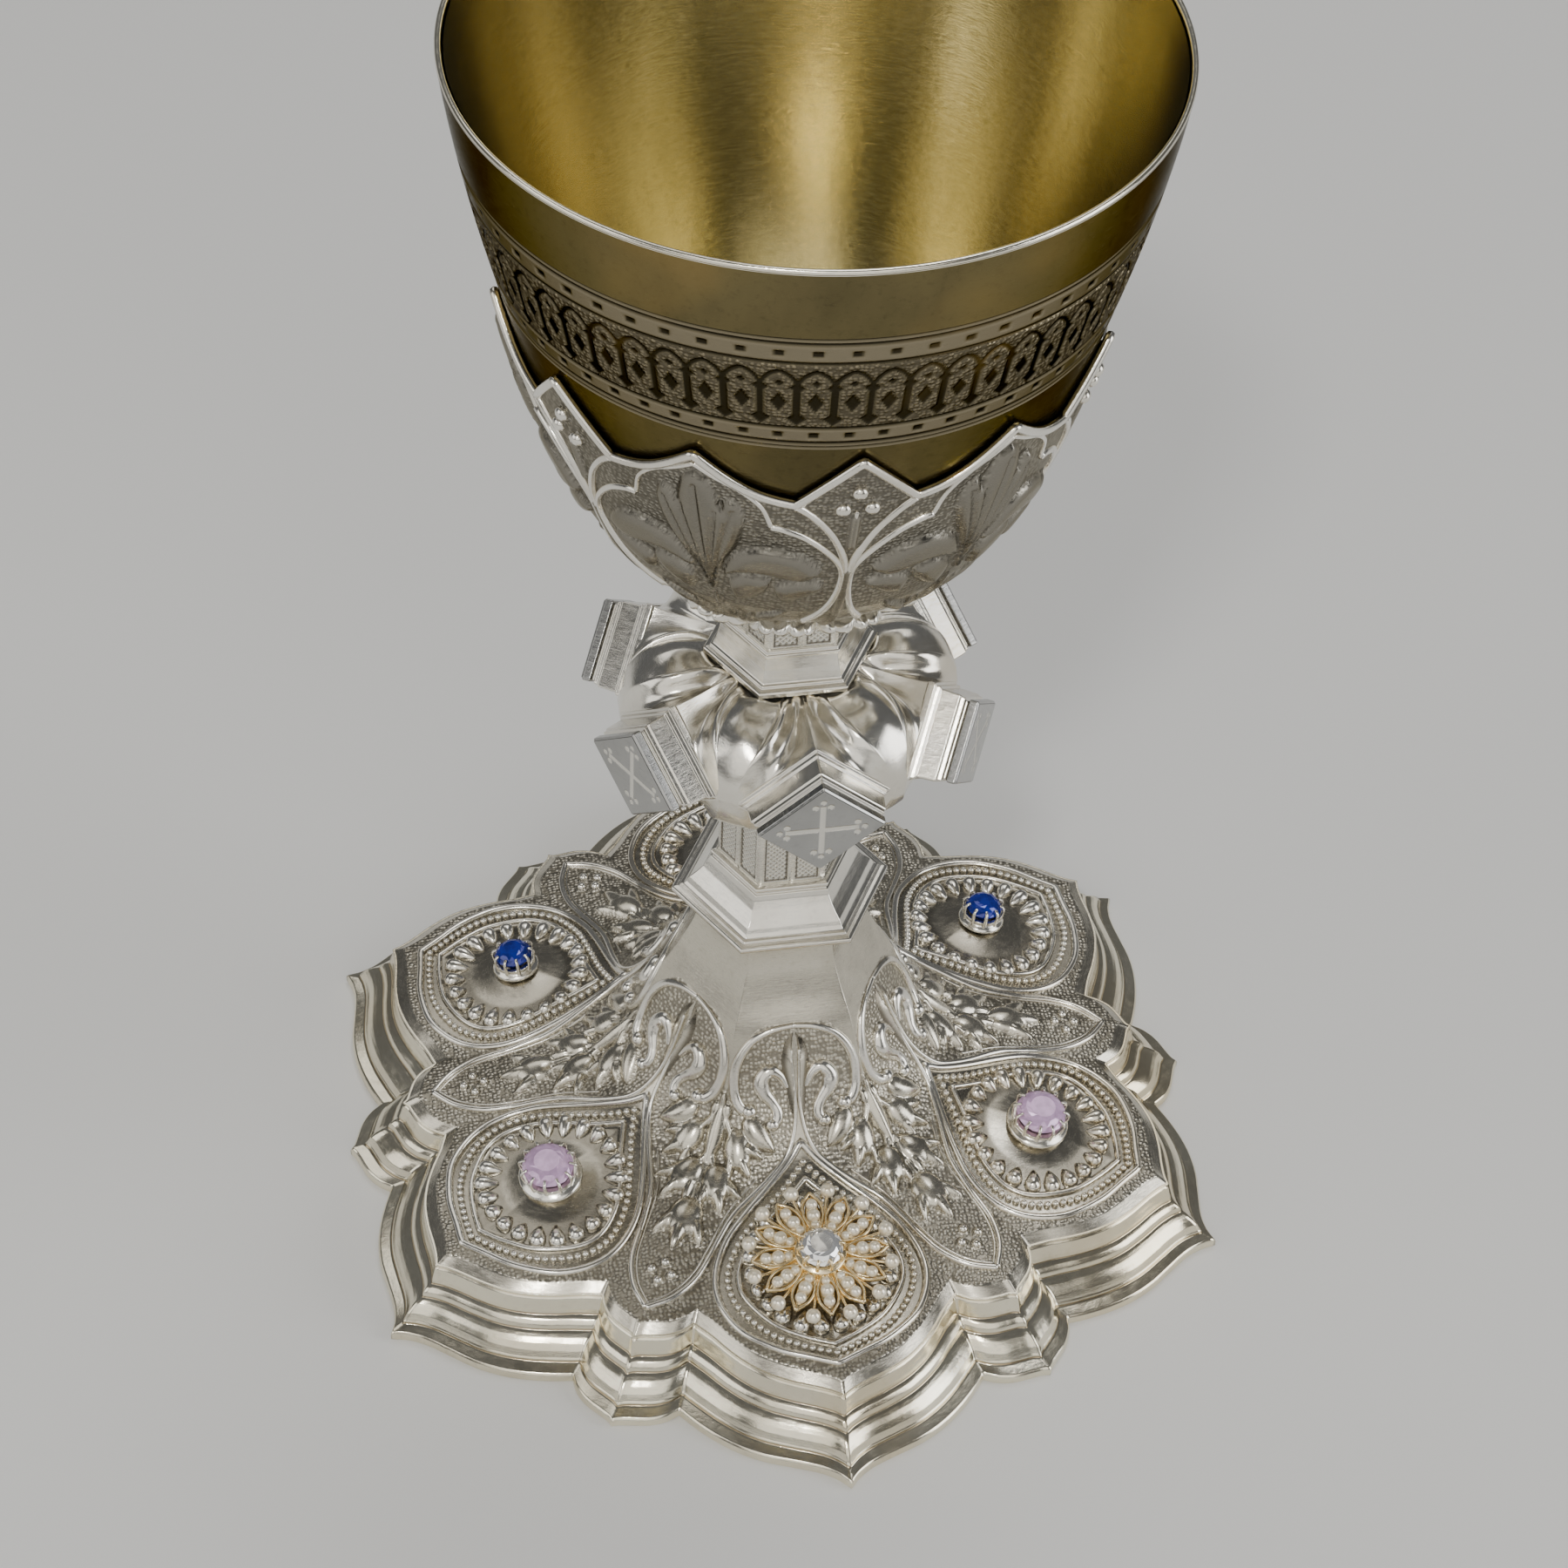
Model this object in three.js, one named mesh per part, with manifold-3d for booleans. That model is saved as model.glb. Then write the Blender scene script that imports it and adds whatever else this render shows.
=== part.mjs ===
// A silver communion chalice, in millimetres: +Z up, the foot stands on z = 0, the front lobe points to -Y.
// Everything repeats six times round the axis: a large lobe every 60 degrees, a small one between each pair.
import * as THREE from "three";
import { mergeVertices } from "three/addons/utils/BufferGeometryUtils.js";
import Module from "manifold-3d";

const wasm = await Module();
wasm.setup();

const GAP = 0.3; // clearance between pieces that touch
const LOBES = 6;
const ROD_RADIUS = 3;
const BORE_RADIUS = 4; // the hole for the tie rod through collars, knop and calyx

const FOOT_HEIGHT = 13.3; // top of the plate's edge
const NECK_TOP = 57.0; // where the foot's trumpet neck ends
const SHEET = 1.4; // thickness of the foot's sheet metal
const STEM_CIRCUMRADIUS = 10.4;
const LOWER_COLLAR_TOP = 66.2;
const KNOP_CENTRE = 100.0;
const KNOP_HALF_HEIGHT = 9.5;
const UPPER_COLLAR_TOP = 117.3;
const CALYX_BASE = 127.3;
const CUP_BASE = 129.2;
const CUP_RIM = 220.8;
const CUP_WALL = 1.2;
const CALYX_SHEET = 1.1;

const MEDALLION_RADIUS = 47; // distance of each medallion's centre from the axis
const BROOCH_RADIUS = 45;

const degrees = THREE.MathUtils.degToRad;

const LOOKS = {
  silver: { color: 0xa9a69c, roughness: 0.28, metalness: 1 },
  polished_silver: { color: 0xc9c7c0, roughness: 0.12, metalness: 1 },
  gilt: { color: 0x9a7d3c, roughness: 0.22, metalness: 1 },
  gold: { color: 0xc79a45, roughness: 0.25, metalness: 1 },
  amethyst: { color: 0xb9a9d8, roughness: 0.05, metalness: 0 },
  sapphire: { color: 0x1f35a8, roughness: 0.05, metalness: 0 },
  diamond: { color: 0xe8eef2, roughness: 0.02, metalness: 0 },
  steel: { color: 0x8c8c88, roughness: 0.45, metalness: 1 },
};

const chalice = new THREE.Group();

function addPiece(name, geometry, look) {
  const mesh = new THREE.Mesh(geometry, new THREE.MeshStandardMaterial(LOOKS[look]));
  mesh.name = name;
  chalice.add(mesh);
  return mesh;
}

// The rest of the file places points by the angle from -Y, turning towards +X.
function polar(radius, angle, height) {
  return new THREE.Vector3(radius * Math.sin(angle), -radius * Math.cos(angle), height);
}

// A lathe-like body whose closed section [[radius, height], ...] may change from angle to angle.
function turned(angles, section) {
  const first = section(angles[0]);
  const outline = [...first, first[0]].map(([r, z]) => new THREE.Vector2(r, z));
  const geometry = new THREE.LatheGeometry(outline, angles.length);
  const position = geometry.attributes.position;
  for (let i = 0; i <= angles.length; i++) {
    const angle = angles[i % angles.length];
    const points = section(angle);
    for (let j = 0; j <= points.length; j++) {
      const [r, z] = points[j % points.length];
      const p = polar(r, angle, z);
      position.setXYZ(i * outline.length + j, p.x, p.y, p.z);
    }
  }
  return geometry;
}

function evenAngles(count, start = 0) {
  return Array.from({ length: count }, (_, i) => degrees(start + (360 * i) / count));
}

function round(section, count) {
  return turned(evenAngles(count), () => section);
}

// A six-sided lathe: its corners point between the large lobes, at the section's own radii.
function hexagonal(section) {
  return turned(evenAngles(LOBES, 30), () => section);
}

function solid(geometry) {
  const bare = geometry.clone();
  bare.deleteAttribute("normal");
  bare.deleteAttribute("uv");
  const merged = mergeVertices(bare, 1e-3);
  const mesh = new wasm.Mesh({
    numProp: 3,
    vertProperties: merged.attributes.position.array,
    triVerts: new Uint32Array(merged.index.array),
  });
  return new wasm.Manifold(mesh);
}

function geometryOf(body) {
  const mesh = body.getMesh();
  const geometry = new THREE.BufferGeometry();
  geometry.setAttribute("position", new THREE.BufferAttribute(mesh.vertProperties, 3));
  geometry.setIndex(new THREE.BufferAttribute(mesh.triVerts, 1));
  return geometry.toNonIndexed();
}

// Moves a geometry made about its own +Z to stand along the radius at the given lobe.
function pointedOut(geometry, lobe, radius, height) {
  const angle = degrees(60 * lobe);
  geometry.rotateX(Math.PI / 2); // +Z to -Y, the front lobe's direction
  geometry.rotateZ(angle);
  const at = polar(radius, angle, height);
  geometry.translate(at.x, at.y, at.z);
  return geometry;
}

// ---- foot ----

// Half a large lobe and half a small one: angle from the large lobe's tip, plate radius, flange radius.
const LOBE_OUTLINE = [
  [0, 70.6, 80.0],
  [3.2, 68.6, 76.5],
  [8, 66.6, 74.6],
  [13, 63.6, 72.6],
  [18, 59.4, 69.6],
  [22, 57.3, 66.9],
  [26, 60.7, 69.8],
  [30, 62.8, 72.2],
];

function footAngles() {
  const half = LOBE_OUTLINE.map((row) => row[0]);
  const sector = [...half.slice(0, -1), ...half.slice(1).reverse().map((a) => 60 - a)];
  const all = [];
  for (let k = 0; k < LOBES; k++) all.push(...sector.map((a) => degrees(a + 60 * k)));
  return all;
}

// Angle from the nearest large lobe, 0 to 30 degrees.
function folded(angle) {
  const turn = ((THREE.MathUtils.radToDeg(angle) % 60) + 60) % 60;
  return Math.min(turn, 60 - turn);
}

function outlineRadii(angle) {
  const a = folded(angle);
  let i = 1;
  while (i < LOBE_OUTLINE.length - 1 && LOBE_OUTLINE[i][0] < a) i++;
  const [a0, plate0, flange0] = LOBE_OUTLINE[i - 1];
  const [a1, plate1, flange1] = LOBE_OUTLINE[i];
  const t = (a - a0) / (a1 - a0);
  const mix = THREE.MathUtils.lerp;
  return { plate: mix(plate0, plate1, t), flange: mix(flange0, flange1, t) };
}

const FLANGE_REACH = 9.6; // how far the flange stands out from the plate's edge

// The stepped moulding's section: distance out from the plate's edge, height.
const MOULDING = [
  [-3.2, 0],
  [9.2, 0],
  [9.6, 0.4],
  [9.6, 1.7],
  [9.2, 2.2],
  [7.0, 2.5],
  [5.6, 5.0],
  [3.4, 6.3],
  [1.3, 8.2],
  [0.3, 9.3],
  [0.3, 11.2],
  [-0.5, 12.0],
  [-3.2, 12.0],
];

function footRim() {
  return turned(footAngles(), (angle) => {
    const { plate, flange } = outlineRadii(angle);
    const reach = (flange - plate) / FLANGE_REACH;
    return MOULDING.map(([out, z]) => [plate + out * reach, z]);
  });
}

// Stations of the foot's upper surface, from the neck to the edge:
// radius towards a large lobe, height, how hexagonal (0 to 1), how lobed (0 to 1).
const FOOT_STATIONS = [
  [11.4, NECK_TOP, 1, 0],
  [11.9, 51.3, 1, 0],
  [14.0, 46.3, 0.8, 0],
  [17.2, 40.3, 0.3, 0],
  [20.3, 33.1, 0, 0],
  [26.0, 24.3, 0, 0],
  [30.0, 20.8, 0, 0.1],
  [36.0, 18.6, 0, 0.3],
  [45.0, 16.8, 0, 0.6],
  [57.0, 15.0, 0, 0.9],
  [70.6, FOOT_HEIGHT, 0, 1],
];

function stationRadius([radius, , hexagon, lobed], angle) {
  const corner = 1 / Math.cos(degrees(folded(angle)));
  const hexagonalRadius = radius * (1 + hexagon * (corner - 1));
  const lobedRadius = (radius * outlineRadii(angle).plate) / LOBE_OUTLINE[0][1];
  return THREE.MathUtils.lerp(hexagonalRadius, lobedRadius, lobed);
}

function footTop() {
  return turned(footAngles(), (angle) => {
    const outer = FOOT_STATIONS.map((s) => [stationRadius(s, angle), s[1]]);
    const inner = outer.map(([r, z], i) => {
      const [before, after] = [outer[Math.max(i - 1, 0)], outer[Math.min(i + 1, outer.length - 1)]];
      const along = new THREE.Vector2(after[0] - before[0], after[1] - before[1]).normalize();
      return [r + along.y * SHEET, z - along.x * SHEET];
    });
    const edge = outer.length - 1;
    inner[0][1] = NECK_TOP;
    inner[edge] = [outer[edge][0], FOOT_HEIGHT - 1.0];
    inner[edge - 1][1] = 13.6;
    return [...outer, ...inner.reverse()].reverse();
  });
}

addPiece("foot_rim", footRim(), "silver");
addPiece("foot_top", footTop(), "silver");

// ---- stem and collars ----

const LOWER_COLLAR = [
  [BORE_RADIUS, NECK_TOP + GAP],
  [17.4, NECK_TOP + GAP],
  [17.8, 57.7],
  [17.8, 58.3],
  [17.4, 58.7],
  [15.2, 58.9],
  [14.9, 60.0],
  [13.2, 61.5],
  [11.9, 63.4],
  [11.3, 65.0],
  [11.7, 65.4],
  [11.7, 66.0],
  [11.4, LOWER_COLLAR_TOP],
  [BORE_RADIUS, LOWER_COLLAR_TOP],
];

// The knop's collars flare from the knop to the stem; the lower one is the upper one turned over.
const KNOP_COLLAR = [
  [BORE_RADIUS, 9.8],
  [13.2, 9.8],
  [13.6, 10.1],
  [13.6, 10.9],
  [13.1, 11.3],
  [12.0, 12.2],
  [11.3, 14.0],
  [11.0, 16.0],
  [11.3, 16.3],
  [11.3, 17.0],
  [11.0, UPPER_COLLAR_TOP - KNOP_CENTRE],
  [BORE_RADIUS, UPPER_COLLAR_TOP - KNOP_CENTRE],
];

function stem(bottom, top) {
  return hexagonal([
    [STEM_CIRCUMRADIUS - 1.6, bottom],
    [STEM_CIRCUMRADIUS, bottom],
    [STEM_CIRCUMRADIUS, top],
    [STEM_CIRCUMRADIUS - 1.6, top],
  ]);
}

const knopCollarTop = KNOP_COLLAR.map(([r, z]) => [r, KNOP_CENTRE + z]);
const knopCollarBottom = KNOP_COLLAR.map(([r, z]) => [r, KNOP_CENTRE - z]).reverse();
const LOWER_STEM_TOP = 2 * KNOP_CENTRE - UPPER_COLLAR_TOP - GAP;

addPiece("lower_collar", hexagonal(LOWER_COLLAR), "silver");
addPiece("lower_stem", stem(LOWER_COLLAR_TOP + GAP, LOWER_STEM_TOP), "silver");
addPiece("knop_collar_lower", hexagonal(knopCollarBottom), "silver");
addPiece("knop_collar_upper", hexagonal(knopCollarTop), "silver");
addPiece("upper_stem", stem(UPPER_COLLAR_TOP + GAP, CALYX_BASE - GAP), "silver");

// ---- knop: a bored core, six lozenge arms, a bulb between each pair, six face plates ----

// Along an arm: distance from the axis, half width, half height.
const ARM_STATIONS = [
  [8.0, 4.0, 9.4],
  [14.0, 5.0, 9.4],
  [18.0, 6.8, 9.4],
  [21.5, 9.4, 9.5],
  [23.4, 12.0, 9.9],
  [24.6, 12.0, 9.9],
  [24.9, 11.0, 9.2],
  [28.2, 10.6, 9.0],
  [28.5, 9.3, 8.1],
  [29.0, 9.3, 8.1],
];
const PLATE_HALF_WIDTH = 9.9;
const PLATE_HALF_HEIGHT = 8.6;
const BULB_RADIUS = 9;
const BULB_CENTRE = 17.3;

// A body along its own +Z with a lozenge section; stations are [z, half width, half height].
function lozengeBody(stations) {
  const ends = [stations[0], ...stations, stations[stations.length - 1]];
  return turned(evenAngles(4), (angle) => {
    const sideways = Math.abs(Math.sin(angle)) > 0.5;
    return ends.map(([z, width, height], i) => {
      const capped = i === 0 || i === ends.length - 1;
      return [capped ? 0 : sideways ? width : height, z];
    });
  });
}

function knopBody() {
  const core = round(
    [
      [BORE_RADIUS, -KNOP_HALF_HEIGHT],
      [11.0, -KNOP_HALF_HEIGHT],
      [15.5, -7.0],
      [18.5, -3.0],
      [18.5, 3.0],
      [15.5, 7.0],
      [11.0, KNOP_HALF_HEIGHT],
      [BORE_RADIUS, KNOP_HALF_HEIGHT],
    ],
    24,
  ).translate(0, 0, KNOP_CENTRE);
  let body = solid(core);
  for (let k = 0; k < LOBES; k++) {
    const arm = pointedOut(lozengeBody(ARM_STATIONS), k, 0, KNOP_CENTRE);
    const bulb = new THREE.SphereGeometry(BULB_RADIUS, 14, 10);
    const at = polar(BULB_CENTRE, degrees(60 * k + 30), KNOP_CENTRE);
    bulb.translate(at.x, at.y, at.z);
    body = body.add(solid(arm)).add(solid(bulb));
  }
  return geometryOf(body);
}

function bossPlate(lobe) {
  const stations = [
    [29.0 + GAP, PLATE_HALF_WIDTH, PLATE_HALF_HEIGHT],
    [30.4, PLATE_HALF_WIDTH, PLATE_HALF_HEIGHT],
    [30.9, PLATE_HALF_WIDTH - 0.6, PLATE_HALF_HEIGHT - 0.55],
  ];
  return pointedOut(lozengeBody(stations), lobe, 0, KNOP_CENTRE);
}

addPiece("knop_body", knopBody(), "polished_silver");
for (let k = 0; k < LOBES; k++) addPiece(`boss_plate_${k + 1}`, bossPlate(k), "polished_silver");

// ---- cup and calyx ----

// The cup's outside: height, radius.
const CUP_PROFILE = [
  [CUP_BASE, 9.0],
  [130.4, 13.2],
  [133.6, 19.0],
  [138.0, 24.4],
  [144.0, 29.6],
  [151.5, 33.8],
  [162.0, 37.7],
  [180.0, 42.8],
  [201.0, 48.0],
  [CUP_RIM - 0.5, 51.4],
];

function cupRadius(height) {
  let i = 1;
  while (i < CUP_PROFILE.length - 1 && CUP_PROFILE[i][0] < height) i++;
  const [z0, r0] = CUP_PROFILE[i - 1];
  const [z1, r1] = CUP_PROFILE[i];
  return THREE.MathUtils.mapLinear(height, z0, z1, r0, r1);
}

// Points at a distance outside the cup's wall, measured square to it.
function besideCup(profile, distance) {
  return profile.map(([z, r], i) => {
    const [before, after] = [profile[Math.max(i - 1, 0)], profile[Math.min(i + 1, profile.length - 1)]];
    const slope = new THREE.Vector2(after[1] - before[1], after[0] - before[0]).normalize();
    return [r + distance * slope.y, z - distance * slope.x];
  });
}

function cup() {
  const outside = CUP_PROFILE.map(([z, r]) => [r, z]);
  const inside = besideCup(CUP_PROFILE, -CUP_WALL).slice(0, -1).reverse();
  const floor = CUP_BASE + CUP_WALL;
  inside.pop();
  const profile = [
    [0, CUP_BASE],
    ...outside,
    [51.0, CUP_RIM],
    [50.4, CUP_RIM - 0.5],
    ...inside,
    [8.0, floor + 0.5],
    [0, floor],
  ];
  return new THREE.LatheGeometry(
    profile.map(([r, z]) => new THREE.Vector2(r, z)),
    48,
  ).rotateX(Math.PI / 2);
}

const CALYX_TIP_LARGE = 182.9; // over the small foot lobes
const CALYX_TIP_SMALL = 184.3; // over the large foot lobes
const CALYX_VALLEY = 174.9;
const CALYX_VALLEY_ANGLE = 11.3;

// The calyx's upper edge: straight to the narrow tips, hollowed towards the wide ones.
function calyxEdge(angle) {
  const a = folded(angle);
  if (a < CALYX_VALLEY_ANGLE) {
    return THREE.MathUtils.mapLinear(a, 0, CALYX_VALLEY_ANGLE, CALYX_TIP_SMALL, CALYX_VALLEY);
  }
  const t = (a - CALYX_VALLEY_ANGLE) / (30 - CALYX_VALLEY_ANGLE);
  return CALYX_VALLEY + (CALYX_TIP_LARGE - CALYX_VALLEY) * (t - 0.28 * Math.sin(Math.PI * t));
}

function calyx() {
  const sector = [0, 5.6, 11.3, 17, 23.5, 30, 36.5, 43, 48.7, 54.4];
  const angles = [];
  for (let k = 0; k < LOBES; k++) angles.push(...sector.map((a) => degrees(a + 60 * k)));
  return turned(angles, (angle) => {
    const edge = calyxEdge(angle);
    const heights = CUP_PROFILE.map(([z]) => z).filter((z) => z > 131 && z < 165);
    const wall = [...heights, edge - 4, edge].map((z) => [z, cupRadius(z)]);
    const outside = besideCup(wall, GAP + CALYX_SHEET);
    const inside = besideCup(wall, GAP);
    outside[outside.length - 1] = [outside[outside.length - 1][0], edge];
    inside[inside.length - 1] = [inside[inside.length - 1][0], edge];
    return [
      [BORE_RADIUS, CALYX_BASE],
      [12.0, CALYX_BASE],
      [15.4, 130.2],
      ...outside,
      ...inside.reverse(),
      [14.0, 130.4],
      [9.2, CUP_BASE - GAP],
      [BORE_RADIUS, CUP_BASE - GAP],
    ];
  });
}

addPiece("cup", cup(), "gilt");
addPiece("calyx", calyx(), "silver");

// ---- the clamp inside: rod, dished washer, nut ----

const WASHER_TOP = 45.0;

function tieRod() {
  return new THREE.CylinderGeometry(ROD_RADIUS, ROD_RADIUS, CUP_BASE - GAP - 36, 20)
    .rotateX(Math.PI / 2)
    .translate(0, 0, (CUP_BASE - GAP + 36) / 2);
}

function dishedWasher() {
  const section = [
    [ROD_RADIUS + GAP, WASHER_TOP - 2.6],
    [6.5, WASHER_TOP - 2.6],
    [12.0, WASHER_TOP - 1.2],
    [12.0, WASHER_TOP],
    [6.0, WASHER_TOP - 1.4],
    [ROD_RADIUS + GAP, WASHER_TOP - 1.4],
  ];
  return round(section, 24);
}

function rodNut() {
  const [bottom, top] = [WASHER_TOP - 8, WASHER_TOP - 2.6 - GAP];
  return hexagonal([
    [ROD_RADIUS + 0.6, bottom],
    [6.2, bottom],
    [6.2, top],
    [ROD_RADIUS + 0.6, top],
  ]);
}

addPiece("tie_rod", tieRod(), "steel");
addPiece("dished_washer", dishedWasher(), "silver");
addPiece("rod_nut", rodNut(), "steel");

// ---- stones in collets on five of the large lobes ----

// Each stone: lobe number, stone radius, look.
const STONES = [
  [1, 4.4, "amethyst"],
  [2, 3.3, "sapphire"],
  [3, 4.4, "amethyst"],
  [4, 3.3, "sapphire"],
  [5, 4.4, "amethyst"],
];
const SEAT = 17.0; // height of the collets' undersides, just above the plate at the medallions
const PLATE_SLOPE = degrees(10); // the plate falls outwards, so what stands on it leans outwards

// Moves a geometry made about +Z, with its underside at z = 0, onto a large lobe's plate.
function onLobe(geometry, lobe, radius) {
  const angle = degrees(60 * lobe);
  const at = polar(radius, angle, SEAT);
  return geometry.rotateX(PLATE_SLOPE).rotateZ(angle).translate(at.x, at.y, at.z);
}

// A low dome that carries a ring of metal round the stone's girdle.
function collet(stoneRadius) {
  const section = [
    [0, 0],
    [6.8, 0],
    [6.2, 0.7],
    [stoneRadius + 0.9, 1.2],
    [stoneRadius + 0.9, 3.4],
    [stoneRadius + GAP, 3.7],
    [stoneRadius + GAP, 1.5],
    [0, 1.5],
  ];
  const profile = section.map(([r, z]) => new THREE.Vector2(r, z));
  return new THREE.LatheGeometry(profile, 18).rotateX(Math.PI / 2);
}

// A brilliant-like stone: pointed below, a crown with a flat table above.
function cutStone(stoneRadius, seat) {
  const section = [
    [0, seat],
    [stoneRadius, seat + 1.9],
    [stoneRadius, seat + 2.2],
    [stoneRadius * 0.62, seat + 3.5],
    [0, seat + 3.5],
  ];
  const profile = section.map(([r, z]) => new THREE.Vector2(r, z));
  return new THREE.LatheGeometry(profile, 12).rotateX(Math.PI / 2);
}

for (const [lobe, radius, look] of STONES) {
  addPiece(`collet_${lobe}`, onLobe(collet(radius), lobe, MEDALLION_RADIUS), "silver");
  addPiece(`stone_${lobe}`, onLobe(cutStone(radius, 1.8), lobe, MEDALLION_RADIUS), look);
}

// ---- the star brooch on the front lobe ----

const RAYS = 12;
const STAR_RADIUS = 10.6;
const PEARL_RADIUS = 1.15;
const PEARL_CIRCLE = 11.9;
const BROOCH_BACK = 1.4; // height of the star above the plate

function starOutline() {
  const shape = new THREE.Shape();
  for (let i = 0; i < 2 * RAYS; i++) {
    const radius = i % 2 ? 5.2 : STAR_RADIUS;
    const angle = (Math.PI * i) / RAYS;
    const [x, y] = [radius * Math.sin(angle), radius * Math.cos(angle)];
    if (i) shape.lineTo(x, y);
    else shape.moveTo(x, y);
  }
  return shape;
}

function broochStar() {
  const plate = new THREE.ExtrudeGeometry(starOutline(), { depth: 1.4, bevelEnabled: false });
  plate.translate(0, 0, BROOCH_BACK);
  const collar = [
    [0, 0],
    [5.0, 0],
    [5.0, BROOCH_BACK + 3.0],
    [3.5, BROOCH_BACK + 3.6],
    [3.5, BROOCH_BACK + 1.6],
    [0, BROOCH_BACK + 1.6],
  ];
  const setting = new THREE.LatheGeometry(
    collar.map(([r, z]) => new THREE.Vector2(r, z)),
    24,
  ).rotateX(Math.PI / 2);
  let body = solid(plate).add(solid(setting));
  for (let i = 0; i < RAYS; i++) {
    const angle = (2 * Math.PI * (i + 0.5)) / RAYS;
    const stalk = new THREE.BoxGeometry(0.8, 8, 0.8).translate(0, 7.5, BROOCH_BACK + 0.7);
    const pearl = new THREE.SphereGeometry(PEARL_RADIUS, 7, 5).translate(0, PEARL_CIRCLE, BROOCH_BACK + 0.9);
    body = body.add(solid(stalk.rotateZ(angle))).add(solid(pearl.rotateZ(angle)));
  }
  return geometryOf(body);
}

addPiece("brooch_star", onLobe(broochStar(), 0, BROOCH_RADIUS), "gold");
addPiece("brooch_diamond", onLobe(cutStone(3.2, BROOCH_BACK + 1.9), 0, BROOCH_RADIUS), "diamond");

export default chalice;
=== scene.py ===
"""The looks of a silver communion chalice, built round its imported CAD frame.

Every length in the tables is in millimetres. Angles are degrees from the front (-Y), turning towards +X.
The chalice repeats six times: large lobes at 0, 60, ... degrees and small ones at 30, 90, ... degrees.
"""

import math

import bpy
import numpy as np
from mathutils import Matrix, Vector


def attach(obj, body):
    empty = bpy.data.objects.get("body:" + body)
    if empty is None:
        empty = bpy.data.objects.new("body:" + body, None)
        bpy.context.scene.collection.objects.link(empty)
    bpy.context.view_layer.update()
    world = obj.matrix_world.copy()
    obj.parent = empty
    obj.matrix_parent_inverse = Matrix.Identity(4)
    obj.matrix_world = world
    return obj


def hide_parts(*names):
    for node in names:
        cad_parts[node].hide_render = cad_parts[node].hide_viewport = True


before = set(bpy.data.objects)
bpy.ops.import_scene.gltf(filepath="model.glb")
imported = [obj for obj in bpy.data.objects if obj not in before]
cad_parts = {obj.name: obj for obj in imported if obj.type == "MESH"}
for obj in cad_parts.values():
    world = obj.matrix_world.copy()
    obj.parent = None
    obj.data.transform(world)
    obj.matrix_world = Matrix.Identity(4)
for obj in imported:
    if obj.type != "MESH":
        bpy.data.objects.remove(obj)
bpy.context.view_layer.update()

MM = 0.001
LARGE = range(0, 360, 60)
SMALL = range(30, 390, 60)


# ---- numbers and curves

def smooth_curve(xs, ys):
    """A smooth curve through the points that never overshoots between them."""
    xs, ys = np.asarray(xs, float), np.asarray(ys, float)
    gap, slope = np.diff(xs), np.diff(ys) / np.diff(xs)
    tangent = np.zeros(len(xs))
    same = slope[1:] * slope[:-1] > 0
    w1, w2 = 2 * gap[1:] + gap[:-1], gap[1:] + 2 * gap[:-1]
    tangent[1:-1][same] = ((w1 + w2)[same]
                           / (w1[same] / slope[:-1][same] + w2[same] / slope[1:][same]))
    tangent[0], tangent[-1] = slope[0], slope[-1]

    def at(x):
        x = np.clip(np.asarray(x, float), xs[0], xs[-1])
        i = np.clip(np.searchsorted(xs, x) - 1, 0, len(xs) - 2)
        t = (x - xs[i]) / gap[i]
        a, b = (1 + 2 * t) * (1 - t) ** 2, t * (1 - t) ** 2
        c, d = t * t * (3 - 2 * t), t * t * (t - 1)
        return a * ys[i] + b * gap[i] * tangent[i] + c * ys[i + 1] + d * gap[i] * tangent[i + 1]

    return at


def step(low, high, x):
    """0 below low, 1 above high, smooth between."""
    t = np.clip((x - low) / (high - low), 0, 1)
    return t * t * (3 - 2 * t)


def spline(points, count, closed=False):
    """Points evenly spaced along a Catmull-Rom curve through the given ones."""
    p = np.asarray(points, float)
    ends = np.vstack([p[-1], p, p[0], p[1]] if closed else [2 * p[0] - p[1], p, 2 * p[-1] - p[-2]])
    t = np.linspace(0, 1, 24, endpoint=False)[:, None]
    pieces = []
    for a, b, c, d in zip(ends, ends[1:], ends[2:], ends[3:]):
        pieces.append(0.5 * (2 * b + (c - a) * t + (2 * a - 5 * b + 4 * c - d) * t ** 2
                             + (3 * b - a - 3 * c + d) * t ** 3))
    dense = np.vstack(pieces + [ends[-2:-1]])
    return resample(dense, count, closed)


def resample(path, count, closed=False):
    length = np.append(0, np.cumsum(np.linalg.norm(np.diff(path, axis=0), axis=1)))
    at = np.linspace(0, length[-1], count, endpoint=not closed)
    return np.stack([np.interp(at, length, path[:, k]) for k in range(path.shape[1])], 1)


def mirrored_loop(half, count):
    """A closed loop from half an outline that starts and ends on the mirror line, sharp at both ends."""
    side = spline(half, count // 2 + 1)
    return np.vstack([side, side[-2:0:-1] * [-1, 1]])


def distance_to(path, x, y, closed=False):
    """Distance from each point to a polyline."""
    best = np.full(np.shape(x), 1e9)
    ends = np.vstack([path, path[:1]]) if closed else path
    for (ax, ay), (bx, by) in zip(ends, ends[1:]):
        dx, dy = bx - ax, by - ay
        t = np.clip(((x - ax) * dx + (y - ay) * dy) / (dx * dx + dy * dy + 1e-12), 0, 1)
        best = np.minimum(best, np.hypot(x - ax - t * dx, y - ay - t * dy))
    return best


def inside(path, x, y):
    """True where the point lies inside the closed polyline."""
    found = np.zeros(np.shape(x), bool)
    for (ax, ay), (bx, by) in zip(path, np.roll(path, -1, axis=0)):
        crosses = (ay > y) != (by > y)
        found ^= crosses & (x < (bx - ax) * (y - ay) / (by - ay + 1e-12) + ax)
    return found


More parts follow.
